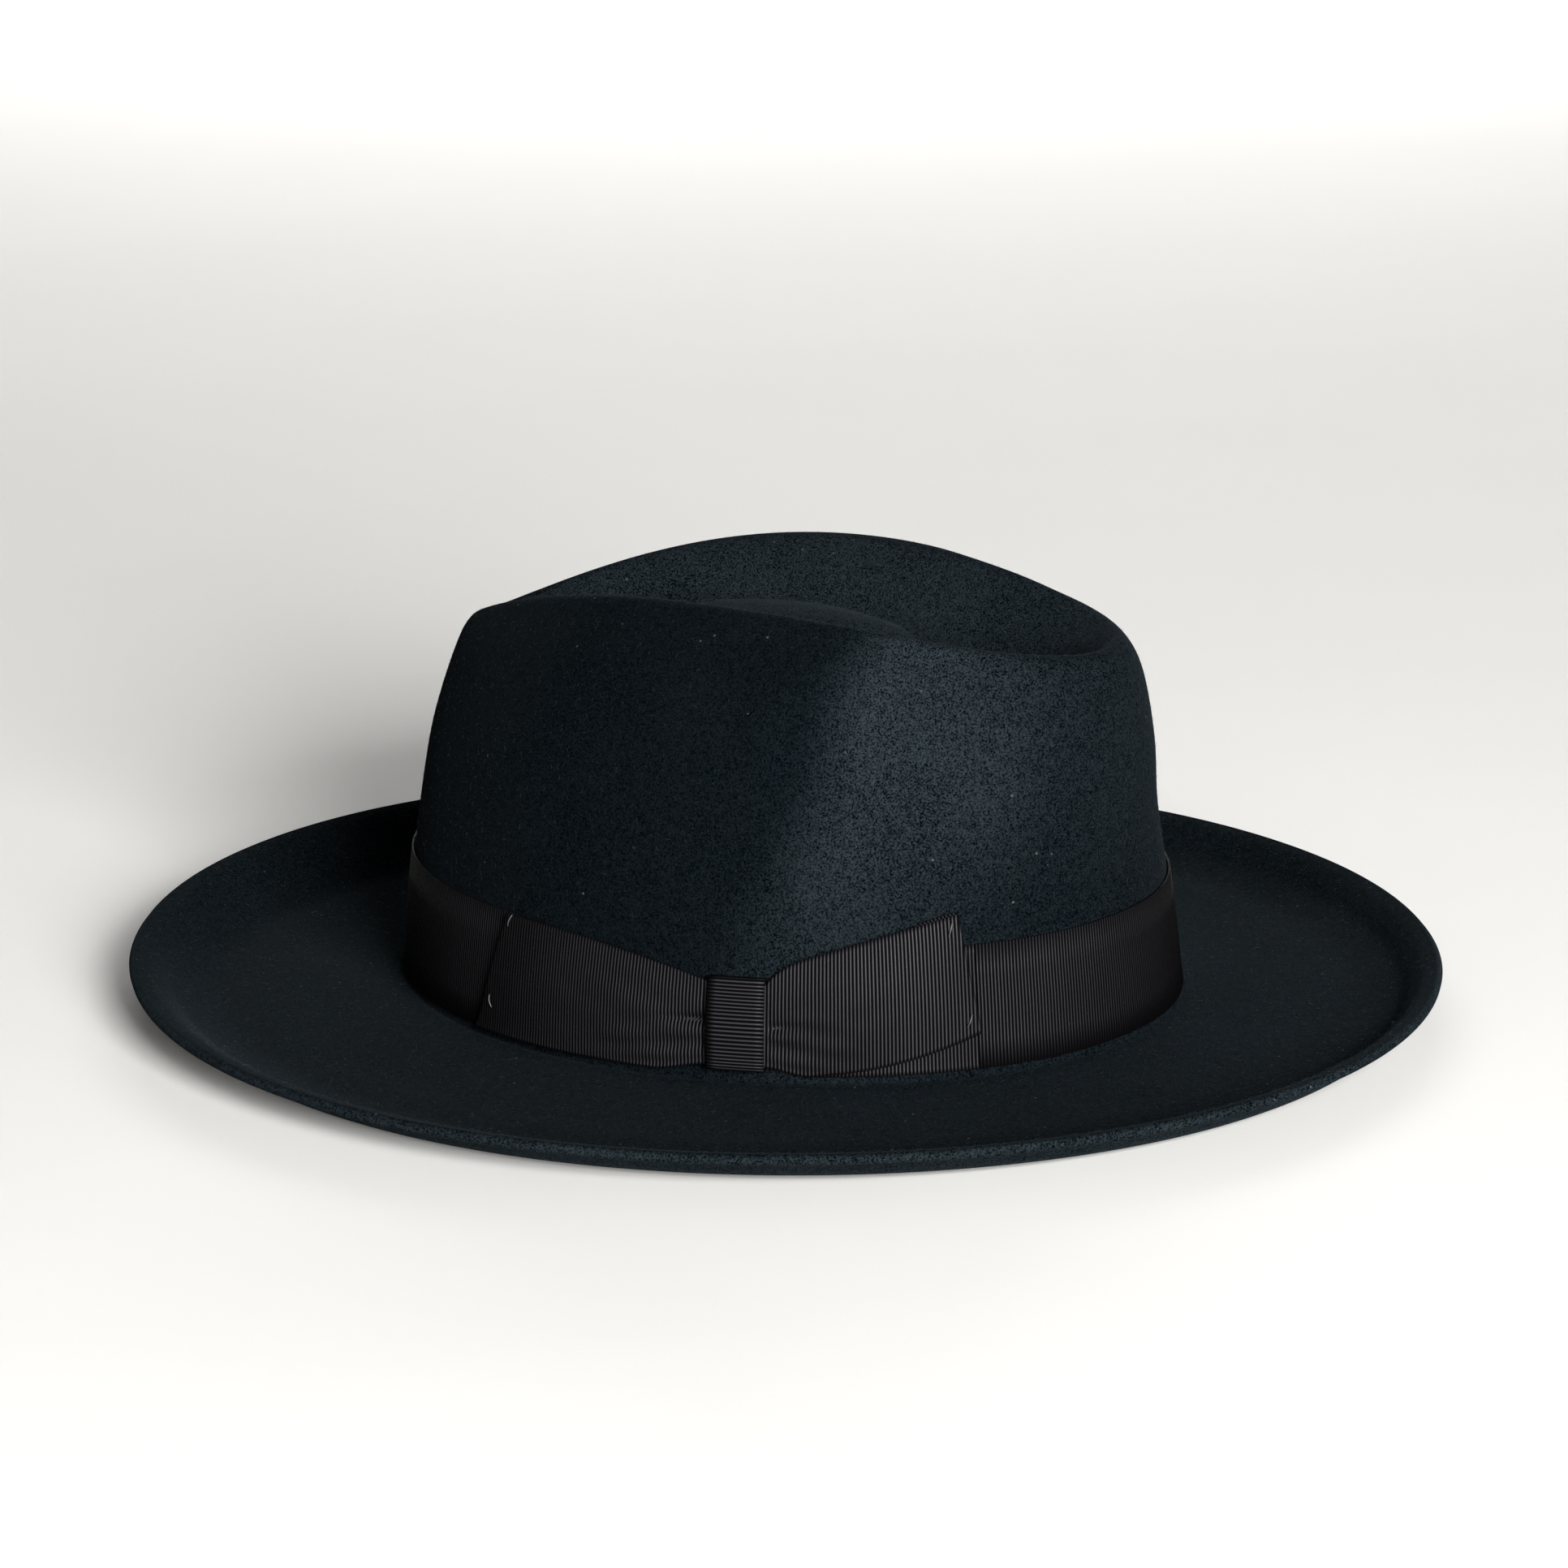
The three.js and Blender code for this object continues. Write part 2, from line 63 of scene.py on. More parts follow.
# %% Camera
VIEW_AZIMUTH, VIEW_HEIGHT, VIEW_ROLL = (math.radians(angle) for angle in (-56.584, 17.641, 1.2))
LENS, SENSOR = 124.472, 36.0  # mm
VIEW_DISTANCE = 1.37903  # m
TIPPED = Vector((-0.00033, -0.0372, -1))  # the way from the lens to the hat's origin, seen by the camera


def make_camera():
    back = Vector((math.sin(VIEW_AZIMUTH) * math.cos(VIEW_HEIGHT),
                   -math.cos(VIEW_AZIMUTH) * math.cos(VIEW_HEIGHT), math.sin(VIEW_HEIGHT)))
    right = (-back).cross(Vector((0, 0, 1))).normalized()
    up = right.cross(-back)
    turn_c, turn_s = math.cos(VIEW_ROLL), math.sin(VIEW_ROLL)
    axes = Matrix((turn_c * right - turn_s * up, turn_s * right + turn_c * up, back)).transposed()
    aim = TIPPED.rotation_difference(Vector((0, 0, -1))).to_matrix()
    data = bpy.data.cameras.new("Camera")
    data.sensor_width = SENSOR
    data.lens = LENS
    camera = bpy.data.objects.new("Camera", data)
    camera.matrix_world = (axes @ aim).to_4x4()
    camera.location = back * VIEW_DISTANCE
    scene.collection.objects.link(camera)
    scene.camera = camera
    return camera


camera = make_camera()
print("lens", round(camera.data.lens, 1), "mm, distance", round(camera.location.length, 3), "m")

# %% [markdown]
# ## Shader maths
# Materials here are made from nodes. Writing a formula as plain Python is easier to read than wiring Math
# nodes one at a time, so a small class wraps a socket and turns +, -, *, ** and comparisons into nodes.
# Everything else goes through one method that takes a node's type, its settings and what its sockets get.

# %% Node helpers
class Value:
    """A float socket that understands arithmetic."""

    def __init__(self, kit, socket):
        self.kit, self.socket = kit, socket

    def math(self, operation, *values, clamp=False):
        settings = {"operation": operation, "use_clamp": clamp}
        return self.kit.number("ShaderNodeMath", settings, dict(enumerate(values)))

    def sine(self):
        return self.math("SINE", self)

    def absolute(self):
        return self.math("ABSOLUTE", self)

    def clamped(self):
        return self.math("ADD", self, 0.0, clamp=True)


def overload(symbol, reflected_symbol, operation, reflected_operation=None):
    """Teaches Value one operator, and the form in which the plain number stands first."""
    def plain(self, other):
        return self.math(operation, self, other)

    def reflected(self, other):
        if reflected_operation:
            return self.math(reflected_operation, self, other)
        return self.math(operation, other, self)

    setattr(Value, f"__{symbol}__", plain)
    setattr(Value, f"__{reflected_symbol}__", reflected)


overload("add", "radd", "ADD")
overload("sub", "rsub", "SUBTRACT")
overload("mul", "rmul", "MULTIPLY")
overload("pow", "rpow", "POWER")
overload("gt", "lt", "GREATER_THAN", "LESS_THAN")

# A colour Mix node also has sockets for numbers and vectors. These are the places of its colour ones.
MIX_A, MIX_B, MIX_RESULT = 6, 7, 2


class Kit:
    """Adds nodes to one material's tree."""

    def __init__(self, name):
        self.material = bpy.data.materials.new(name)
        self.material.use_nodes = True
        self.tree = self.material.node_tree
        self.shader = self.tree.nodes["Principled BSDF"]

    def feed(self, socket, value):
        if isinstance(value, Value):
            self.tree.links.new(value.socket, socket)
        elif isinstance(value, bpy.types.NodeSocket):
            self.tree.links.new(value, socket)
        else:
            socket.default_value = value

    def node(self, kind, settings=None, inputs=None):
        node = self.tree.nodes.new(kind)
        for key, value in (settings or {}).items():
            setattr(node, key, value)
        for key, value in (inputs or {}).items():
            self.feed(node.inputs[key], value)
        return node

    def number(self, kind, settings=None, inputs=None, output=0):
        return Value(self, self.node(kind, settings, inputs).outputs[output])

    def place(self):
        return self.node("ShaderNodeTexCoord").outputs["Object"]

    def noise(self, scale, detail=2.0, roughness=0.5):
        inputs = {"Vector": self.place(), "Scale": scale, "Detail": detail, "Roughness": roughness}
        return self.number("ShaderNodeTexNoise", None, inputs)

    def stored(self, name):
        """A number that the mesh keeps for each of its points."""
        return self.number("ShaderNodeAttribute", {"attribute_name": name}, output="Fac")

    def mix(self, factor, a, b):
        inputs = {0: factor, MIX_A: a, MIX_B: b}
        return self.node("ShaderNodeMix", {"data_type": "RGBA"}, inputs).outputs[MIX_RESULT]

    def bump(self, height, distance, strength):
        inputs = {"Height": height, "Distance": distance, "Strength": strength}
        return self.node("ShaderNodeBump", None, inputs).outputs[0]

    def finish(self, **sockets):
        for name, value in sockets.items():
            self.feed(self.shader.inputs[name.replace("_", " ")], value)
        return self.material


def rgb(red, green, blue):
    return (red, green, blue, 1.0)


print("node helpers ready")

# %% [markdown]
# ## Wool felt
# Felt is a mat of short wool fibres, pressed until it is a sheet. It has no weave. Seen close, it is a fine
# mottle of darker pits and lighter fibre tufts, with slow clouds of tone where the hand has brushed it.
# The felt body's mesh also stores a number for each point, which paints light and shade into the felt
# by place on the hat. It scales the tone. A little sheen stands for the fine hairs at a grazing angle. The
# longer hairs are real geometry, further down. The scales of all patterns are in cells per metre.

# %% Felt material
GRAIN, TUFTS, CLOUDS = 2100, 520, 34
SPECKS, SPECK_GROUPS = 260, 140
SPECK_REACH, SPECK_SHARE = 0.085, 0.3
FELT_DARK, FELT_LIGHT = rgb(0.0002, 0.0006, 0.0010), rgb(0.0158, 0.0215, 0.0250)
SPECK_COLOUR, SHEEN_COLOUR = rgb(0.08, 0.09, 0.09), rgb(0.55, 0.7, 0.78)
FIBRE_DARK, FIBRE_LIGHT = rgb(0.004, 0.006, 0.007), rgb(0.015, 0.020, 0.022)


def wool_felt():
    kit = Kit("wool_felt")
    grain, tufts, clouds = kit.noise(GRAIN, roughness=0.6), kit.noise(TUFTS), kit.noise(CLOUDS)
    # The stored number paints light and shade into the felt's tone: paler on the crown's wall in front of the
    # dents' rear edge, darker behind it and on the brim.
    tone = (grain * 3.3 + tufts * 0.7 + clouds * 0.4 - 1.7).clamped() * kit.stored("painted_light_and_shade")
    to_speck = kit.number("ShaderNodeTexVoronoi", None, {"Vector": kit.place(), "Scale": SPECKS})
    specks = ((SPECK_REACH - to_speck) > 0.0) * (kit.noise(SPECK_GROUPS, 1.0) > 0.6)
    base = kit.mix(specks * SPECK_SHARE, kit.mix(tone, FELT_DARK, FELT_LIGHT), SPECK_COLOUR)
    return kit.finish(
        Base_Color=base,
        Roughness=0.9 - tone * 0.12,
        Normal=kit.bump(grain * 0.6 + tufts * 0.5, 0.00035, 0.75),
        Sheen_Weight=0.012,
        Sheen_Roughness=0.4,
        Sheen_Tint=SHEEN_COLOUR,
        Specular_IOR_Level=0.0,
    )


def fibre_material():
    kit = Kit("felt_fibre")
    tone = kit.noise(300, 1.0)
    return kit.finish(
        Base_Color=kit.mix(tone, FIBRE_DARK, FIBRE_LIGHT),
        Roughness=0.75 - tone * 0.2,
        Specular_IOR_Level=0.25,
    )


FELT = wool_felt()
FIBRE = fibre_material()
print("felt materials ready")

# %% [markdown]
# ## The blocked shape
# A felt hat is steamed and pulled over a wooden block, so crown and brim are one smooth skin. It could be
# sculpted, but a rule is easier to control: rings run from the brim's edge to the middle of the crown, each
# an ellipse with its own size and height, and a smooth curve joins them at every angle round the head. The
# dents at the front push some rings inwards. Lengths in this cell are millimetres and angles are degrees,
# and each ring is (half length, half width, way forward, height rule, share of the dents).

# %% The block's rings
FELT_THICK = 2.6
EDGE_ROUND = 1.25  # how far the rounded raw edge stands out past the last ring
HEAD_LENGTH, HEAD_WIDTH, HEAD_FORWARD = 103.0, 86.0, 2.2
BRIM_LENGTH = (felt_high[1] - felt_low[1]) / 2 - EDGE_ROUND
BRIM_WIDTH = (felt_high[0] - felt_low[0]) / 2 - EDGE_ROUND
BREAK_HEIGHT = 4.4
EDGE_FRONT, EDGE_SIDE, EDGE_BACK = 9.9, 10.9, 14.7
LIP_WIDTH, LIP_RISE = 10.5, 5.8
CROWN_SIDE, CROWN_FRONT, CROWN_BACK, CROWN_FORWARD = felt_high[2], 99.5, 89.5, 4.6
RIDGE_LENGTH, RIDGE_WIDTH = 90.0, 41.0
PINCH_ANGLE, PINCH_NOSE_SIDE, PINCH_REAR_SIDE, PINCH_DEPTH = 52.0, 13.0, 13.0, 8.5
PINCH_TRAIL = 16.0  # degrees that the dent's rear edge drifts back as it fades towards the band
CHANNEL_LENGTH, CHANNEL_WIDTH, CHANNEL_SIDE, CHANNEL_END = 62.0, 21.0, 91.0, 82.0
ISLAND_HEIGHT, ISLAND_FORWARD = 100.0, 6.0
RIBBON_WIDTH, RIBBON_THICK = 30.0, 0.6
RIBBON_FOOT = 6.2
RIBBON_MIDDLE = RIBBON_FOOT + RIBBON_WIDTH / 2
WALL_TOP_HEIGHT = RIBBON_FOOT + RIBBON_WIDTH


def mix(a, b, share):
    return a + (b - a) * share


def ease(x, start, end):
    t = np.clip((x - start) / (end - start), 0, 1)
    return t * t * (3 - 2 * t)


def around(side, front, back, phi):
    """A value that goes from front to side to back as the angle goes round."""
    end = mix(back, front, (1 + np.cos(phi)) / 2)
    return mix(end, side, (1 - np.cos(2 * phi)) / 2)


def edge_height(phi):
    return around(EDGE_SIDE, EDGE_FRONT, EDGE_BACK, phi)


def ridge_height(phi):
    return around(CROWN_SIDE, CROWN_FRONT, CROWN_BACK, phi)


def brim_ring(share, height):
    return (mix(HEAD_LENGTH, BRIM_LENGTH, share), mix(HEAD_WIDTH, BRIM_WIDTH, share),
            HEAD_FORWARD * (1 - share), height, 0.0)


def lip(drop):
    return lambda phi: edge_height(phi) - LIP_RISE * drop


def wall(share, below=0.0):
    return lambda phi: mix(WALL_TOP_HEIGHT, ridge_height(phi), share) - below


def channel(above):
    return lambda phi: mix(CHANNEL_END, CHANNEL_SIDE, (1 - np.cos(2 * phi)) / 2) + above


def island(below):
    return lambda phi: ISLAND_HEIGHT - below * (1 + 0.6 * np.abs(np.cos(phi)))


def level_height(height):
    return lambda phi: np.full_like(phi, height)


LIP_START = 1 - LIP_WIDTH / (BRIM_WIDTH - HEAD_WIDTH)
UP = CROWN_FORWARD
RINGS = [
    # the curled lip, from the edge inwards
    brim_ring(1, lip(0)),
    brim_ring(mix(LIP_START, 1, 0.66), lip(0.16)),
    brim_ring(mix(LIP_START, 1, 0.34), lip(0.52)),
    brim_ring(LIP_START, lip(1)),
    brim_ring(LIP_START - 0.08, lambda phi: mix(FELT_THICK, lip(1)(phi), 0.35)),
    # the flat brim, and its rise to the crown
    brim_ring(0.68, level_height(FELT_THICK)),
    brim_ring(0.56, level_height(FELT_THICK)),
    brim_ring(0.44, level_height(FELT_THICK)),
    brim_ring(0.28, level_height(mix(FELT_THICK, BREAK_HEIGHT, 0.25))),
    brim_ring(0.12, level_height(mix(FELT_THICK, BREAK_HEIGHT, 0.62))),
    brim_ring(0.025, level_height(BREAK_HEIGHT)),
    # the crown's wall: the ribbon's foot, middle and head, then the dented part
    (HEAD_LENGTH - 0.4, HEAD_WIDTH - 0.4, HEAD_FORWARD, level_height(RIBBON_FOOT), 0.0),
    (HEAD_LENGTH - 1.8, HEAD_WIDTH - 2.4, HEAD_FORWARD, level_height(RIBBON_MIDDLE), 0.0),
    (HEAD_LENGTH - 3.4, HEAD_WIDTH - 4.8, HEAD_FORWARD, level_height(WALL_TOP_HEIGHT), 0.1),
    (HEAD_LENGTH - 5, HEAD_WIDTH - 9, HEAD_FORWARD, wall(0.27), 0.55),
    (HEAD_LENGTH - 5.6, HEAD_WIDTH - 15.5, mix(HEAD_FORWARD, UP, 0.5), wall(0.54), 1.0),
    (HEAD_LENGTH - 7.8, HEAD_WIDTH - 25, UP, wall(0.8), 1.0),
    # over the ridge
    (RIDGE_LENGTH + 4, RIDGE_WIDTH + 6.5, UP, wall(1, 3.4), 0.45),
    (RIDGE_LENGTH, RIDGE_WIDTH, UP, wall(1), 0.2),
    (RIDGE_LENGTH - 5.5, RIDGE_WIDTH - 5.5, UP, wall(1, 2.8), 0.1),
    (mix(RIDGE_LENGTH, CHANNEL_LENGTH, 0.5), mix(RIDGE_WIDTH, CHANNEL_WIDTH, 0.55), UP, wall(1, 9), 0.0),
    # the channel, and the island inside it
    (CHANNEL_LENGTH + 4, CHANNEL_WIDTH + 4, UP, channel(1.4), 0.0),
    (CHANNEL_LENGTH - 5, CHANNEL_WIDTH - 2, UP, channel(0), 0.0),
    (CHANNEL_LENGTH - 15, CHANNEL_WIDTH - 6.5, UP, channel(2.2), 0.0),
    (33.0, 13.0, 5.0, island(2.5), 0.0),
    (16.0, 6.5, ISLAND_FORWARD, island(0.6), 0.0),
    (0.0, 0.0, ISLAND_FORWARD, island(0), 0.0),
]
LAST = len(RINGS) - 1
WALL_FOOT, WALL_TOP = 11, 13  # the rings at the ribbon's foot and head
RIDGE = 18  # the ring at the top of the ridge


def pinch(phi, dent):
    """How far the front dent pushes a ring in: soft towards the nose, with a crisper edge at the rear."""
    from_front = np.degrees(np.arccos(np.cos(phi)))
    rear_side = PINCH_REAR_SIDE + PINCH_TRAIL * (1 - dent) * (dent < 1)
    nose = np.exp(-(((from_front - PINCH_ANGLE) / PINCH_NOSE_SIDE) ** 2))
    rear = np.exp(-((np.maximum(from_front - PINCH_ANGLE, 0) / rear_side) ** 4))
    return PINCH_DEPTH * dent * np.where(from_front < PINCH_ANGLE, nose, rear)


def ring_point(number, phi):
    length, width, forward, height, dent = RINGS[number]
    x, y = -width * np.sin(phi), -length * np.cos(phi)
    keep = 1 - pinch(phi, dent) / np.maximum(np.hypot(x, y), 1)
    return np.stack([x * keep, y * keep - forward, height(phi) * np.ones_like(phi)], -1)


def on_face(phi, level):
    """Points of the felt's outside, at angles and ring levels, by a Catmull-Rom curve through the rings."""
    phi, level = np.broadcast_arrays(np.asarray(phi, float), np.asarray(level, float))
    rings = np.stack([ring_point(i, phi) for i in range(len(RINGS))])
    first, last = 2 * rings[0] - rings[1], 2 * rings[-1] - rings[-2]
    rings = np.concatenate([first[None], rings, last[None]])
    start = np.clip(np.floor(level).astype(int), 0, LAST - 1)
    t = (level - start)[..., None]

    def pick(step):
        return np.take_along_axis(rings, (start + step)[None, ..., None], 0)[0]

    a, b, c, d = (pick(step) for step in range(4))
    go, stop = (c - a) / 2, (d - b) / 2
    return b + go * t + (3 * (c - b) - 2 * go - stop) * t**2 + (2 * (b - c) + go + stop) * t**3


def face_normal(phi, level, step=0.01):
    phi, level = np.broadcast_arrays(np.asarray(phi, float), np.asarray(level, float))
    across = on_face(phi + step, level) - on_face(phi - step, level)
    inward = on_face(phi, np.minimum(level + step, LAST)) - on_face(phi, np.maximum(level - step, 0))
    normal = np.cross(inward, across)
    size = np.linalg.norm(normal, axis=-1, keepdims=True)
    flat = (level > LAST - 2 * step)[..., None]
    return np.where(flat, np.array([0, 0, 1.0]), normal / np.maximum(size, 1e-9))


def over_felt(phi, level, height):
    height = np.broadcast_to(np.asarray(height, float), np.broadcast(phi, level).shape)
    return on_face(phi, level) + face_normal(phi, level) * height[..., None]


print("brim half axes", round(BRIM_LENGTH, 1), round(BRIM_WIDTH, 1), "crown height", round(CROWN_SIDE, 1))

# %% [markdown]
# ## From points to a mesh
# Every piece below ends as a grid of points. Helpers join the rows of a grid with quads, close a strip all
# round, turn the faces outwards, and give a piece its body and the CAD node that it stands for.

# %% Mesh helpers
def make_object(name, points, faces, material):
    mesh = bpy.data.meshes.new(name)
    mesh.from_pydata((np.asarray(points) * MM).tolist(), [], faces)
    mesh.update()
    mesh.polygons.foreach_set("use_smooth", [True] * len(mesh.polygons))
    mesh.materials.append(material)
    piece = bpy.data.objects.new(name, mesh)
    scene.collection.objects.link(piece)
    return piece


def ring_faces(rows, count, closed_rows=False):
    """Quads between rows of points, each row a closed loop of `count` points."""
    last = rows if closed_rows else rows - 1
    faces = []
    for i in range(last):
        j = (i + 1) % rows
        for k in range(count):
            m = (k + 1) % count
            faces.append((i * count + k, i * count + m, j * count + m, j * count + k))
    return faces


def closed_strip(name, outer, inner, material):
    """A closed body between two grids of points: quads on both faces, along the edges and at the ends."""
    loops = np.concatenate([outer, inner[:, ::-1]], 1)
    rows, count = loops.shape[:2]
    faces = ring_faces(rows, count)
    for row, flip in ((0, True), (rows - 1, False)):
        for j in range(outer.shape[1] - 1):
            quad = [row * count + k for k in (j, j + 1, count - 2 - j, count - 1 - j)]
            faces.append(tuple(quad[::-1] if flip else quad))
    return facing_out(make_object(name, loops.reshape(-1, 3), faces, material))


def store(piece, name, values):
    """Keeps a number for each point of a mesh, for materials and node trees to read by its name."""
    layer = piece.data.attributes.new(name, "FLOAT", "POINT")
    layer.data.foreach_set("value", np.asarray(values, np.float32).ravel())


def facing_out(piece):
    """Turns the faces round if the closed mesh has a negative volume."""
    mesh = piece.data
    mesh.calc_loop_triangles()
    points = np.array([v.co for v in mesh.vertices])
    corners = points[np.array([t.vertices for t in mesh.loop_triangles])]
    volume = (corners[:, 0] * np.cross(corners[:, 1], corners[:, 2])).sum()
    if volume < 0:
        mesh.flip_normals()
    return piece


def settle(piece, slot, *nodes):
    """Puts a piece on the root body and hides the CAD nodes that it stands for. The slot, a kind of material,
    is not used.
    """
    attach(piece, "root")
    if nodes:
        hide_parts(*nodes)
    print(piece.name, len(piece.data.polygons), "faces")
    return piece


# %% [markdown]
# ## The felt body
# The outside runs from the brim's edge up over the crown, and the inside comes back a felt's thickness
# below. A rounded row between them is the raw edge. The rows lie closer where the felt bends hard: at the
# curled lip, at the break between brim and crown, and round the dents. Each point also stores a tone of
# painted light and shade: paler on the crown's wall in front of the dents' rear edge, darker behind it and
# on the brim.

# %% Felt body
SEGMENTS = 336
TOP_SPANS = ((0, 5, 46), (5, 8, 10), (8, 13, 26), (13, 24, 72))  # from ring, to ring, rows
TOP_MIDDLE = [24.5, 25, 25.5]
UNDER_SPANS = ((0, 5, 22), (5, 8, 7), (8, 24, 58))
UNDER_MIDDLE = [24.6, 25.3]
EDGE_ROWS = ((0.16, 0.62), (0.5, 0.98), (0.84, 0.62))  # share of the thickness, share of EDGE_ROUND
RESTING_RINGS = (5, 7)  # the underside is level between these, where the hat stands
# Tones of painted light and shade that scale the felt's colour: darker behind the dents' rear edge, on the
# brim and below, paler in front of that edge.
PAINTED_SHADE_BEHIND_EDGE, BRIM_PAINTED_SHADE, TOP_PAINTED_TONE, UNDER_PAINTED_TONE = 0.18, 0.24, 0.66, 0.6
PAINTED_LIGHT_TONE, PAINTED_LIGHT_FADE, PAINTED_LIGHT_AT_FOOT = 0.78, 0.42, 0.66
REAR_EDGE, REAR_EDGE_DRIFT = 60, 10  # degrees from the front, at the head and added towards the ribbon


def painted_felt_tone(phi, level):
    """Painted light and shade on the felt: paler on the crown's wall in front of the dents' rear edge, darker
    behind it and on the brim.
    """
    from_front = np.degrees(np.arccos(np.cos(phi)))
    rear_edge = REAR_EDGE + REAR_EDGE_DRIFT * (1 - ease(level, WALL_TOP - 0.5, WALL_TOP + 2.2))
    # turned is the share of painted shade behind the dents' rear edge.
    turned = ease(from_front, rear_edge - 9, rear_edge + 6)
    painted_light = PAINTED_LIGHT_TONE - PAINTED_LIGHT_FADE * ease(rear_edge - from_front, 12, 46)
    painted_light = painted_light * mix(PAINTED_LIGHT_AT_FOOT, 1.0, ease(level, WALL_TOP, WALL_TOP + 2.2))
    side = mix(painted_light, PAINTED_SHADE_BEHIND_EDGE, turned)
    past_ridge = ease(level, RIDGE - 0.7, RIDGE + 0.6)
    on_wall_share = ease(level, WALL_FOOT - 1, WALL_FOOT + 1) * (1 - past_ridge)
    elsewhere = mix(BRIM_PAINTED_SHADE, TOP_PAINTED_TONE, past_ridge)
    return mix(np.full_like(phi, elsewhere), side, on_wall_share)


def row_levels(spans, middle):
    rows = [np.linspace(*span)[number > 0:] for number, span in enumerate(spans)]
    return np.concatenate(rows + [middle])


def felt_rows():
    phi = np.arange(SEGMENTS) / SEGMENTS * 2 * np.pi
    out = np.stack([-np.sin(phi), -np.cos(phi), np.zeros_like(phi)], -1)
    top_levels = row_levels(TOP_SPANS, TOP_MIDDLE)[::-1]
    rows = [over_felt(phi, level, 0) for level in top_levels]
    painted_tones = [painted_felt_tone(phi, level) for level in top_levels]
    for depth, bulge in EDGE_ROWS:
        rows.append(over_felt(phi, 0.0, -FELT_THICK * depth) + out * EDGE_ROUND * bulge)
    for level in row_levels(UNDER_SPANS, UNDER_MIDDLE):
        row = over_felt(phi, level, -FELT_THICK)
        if RESTING_RINGS[0] <= level <= RESTING_RINGS[1]:
            row[:, 2] = 0
        rows.append(row)
    painted_tones += [np.full_like(phi, UNDER_PAINTED_TONE)] * (len(rows) - len(painted_tones))
    return rows, np.concatenate(painted_tones + [[UNDER_PAINTED_TONE, UNDER_PAINTED_TONE]])


def felt_body():
    rows, painted_tones = felt_rows()
    poles = [[0, -ISLAND_FORWARD, ISLAND_HEIGHT], [0, -ISLAND_FORWARD, ISLAND_HEIGHT - FELT_THICK]]
    points = np.concatenate(rows + [np.array(poles)])
    faces = ring_faces(len(rows), SEGMENTS)
    top, under, last = len(points) - 2, len(points) - 1, (len(rows) - 1) * SEGMENTS
    faces += [(k, top, (k + 1) % SEGMENTS) for k in range(SEGMENTS)]
    faces += [(last + k, last + (k + 1) % SEGMENTS, under) for k in range(SEGMENTS)]
    piece = facing_out(make_object("felt_hat_body", points, faces, FELT))
    store(piece, "painted_light_and_shade", painted_tones)
    return piece


settle(felt_body(), "wool_felt", "felt_body")

# %% [markdown]
# ## Loose hairs
# Some wool fibres stand clear of the mat. They give the outline its soft edge and the surface its pale
# flecks. Thousands of the same small thing on a surface is a job for Geometry Nodes: points are scattered
# over the felt, each gets a short bent fibre, turned at random, and the result is made real.

# %% Fibre scatter
def socket_id(tree, name):
    return next(item.identifier for item in tree.interface.items_tree
                if item.name == name and item.in_out == "INPUT")


def new_tree(name, inputs):
    tree = bpy.data.node_groups.new(name, "GeometryNodeTree")
    tree.interface.new_socket("Geometry", in_out="INPUT", socket_type="NodeSocketGeometry")
    tree.interface.new_socket("Geometry", in_out="OUTPUT", socket_type="NodeSocketGeometry")
    for label, kind in inputs:
        tree.interface.new_socket(label, in_out="INPUT", socket_type=kind)
    return tree, tree.nodes.new("NodeGroupInput"), tree.nodes.new("NodeGroupOutput")


def add(tree, kind, settings=None, **inputs):
    """Adds a node to a geometry tree. An input is named, or numbered as in i0. Blanks are written as _."""
    node = tree.nodes.new(kind)
    for key, value in (settings or {}).items():
        setattr(node, key, value)
    for key, value in inputs.items():
        numbered = key[0] == "i" and key[1:].isdigit()
        socket = node.inputs[int(key[1:]) if numbered else key.replace("_", " ")]
        if isinstance(value, bpy.types.NodeSocket):
            tree.links.new(value, socket)
        else:
            socket.default_value = value
    return node


HAIR_COUNT = 8000  # on the brim, and as many on the crown
HAIR = {"Length": 0.0009, "Radius": 0.000017, "Lift": 0.0002}  # m
HAIR_SIDES = 3
FIRST_SEED = 11
GROUND_SEGMENTS, GROUND_ROWS = 120, 60


def math_node(tree, operation, *values):
    """The output of a Math node in a geometry tree."""
    inputs = {f"i{number}": value for number, value in enumerate(values)}
    return add(tree, "ShaderNodeMath", {"operation": operation}, **inputs).outputs[0]


def finish_tree(tree, given, result, geometry):
    """Makes instances real, sets the material and ends the tree."""
    real = add(tree, "GeometryNodeRealizeInstances", None, Geometry=geometry)
    dressed = add(tree, "GeometryNodeSetMaterial", None, Geometry=real.outputs[0],
                  Material=given.outputs["Material"])
    tree.links.new(dressed.outputs[0], result.inputs["Geometry"])
    return tree


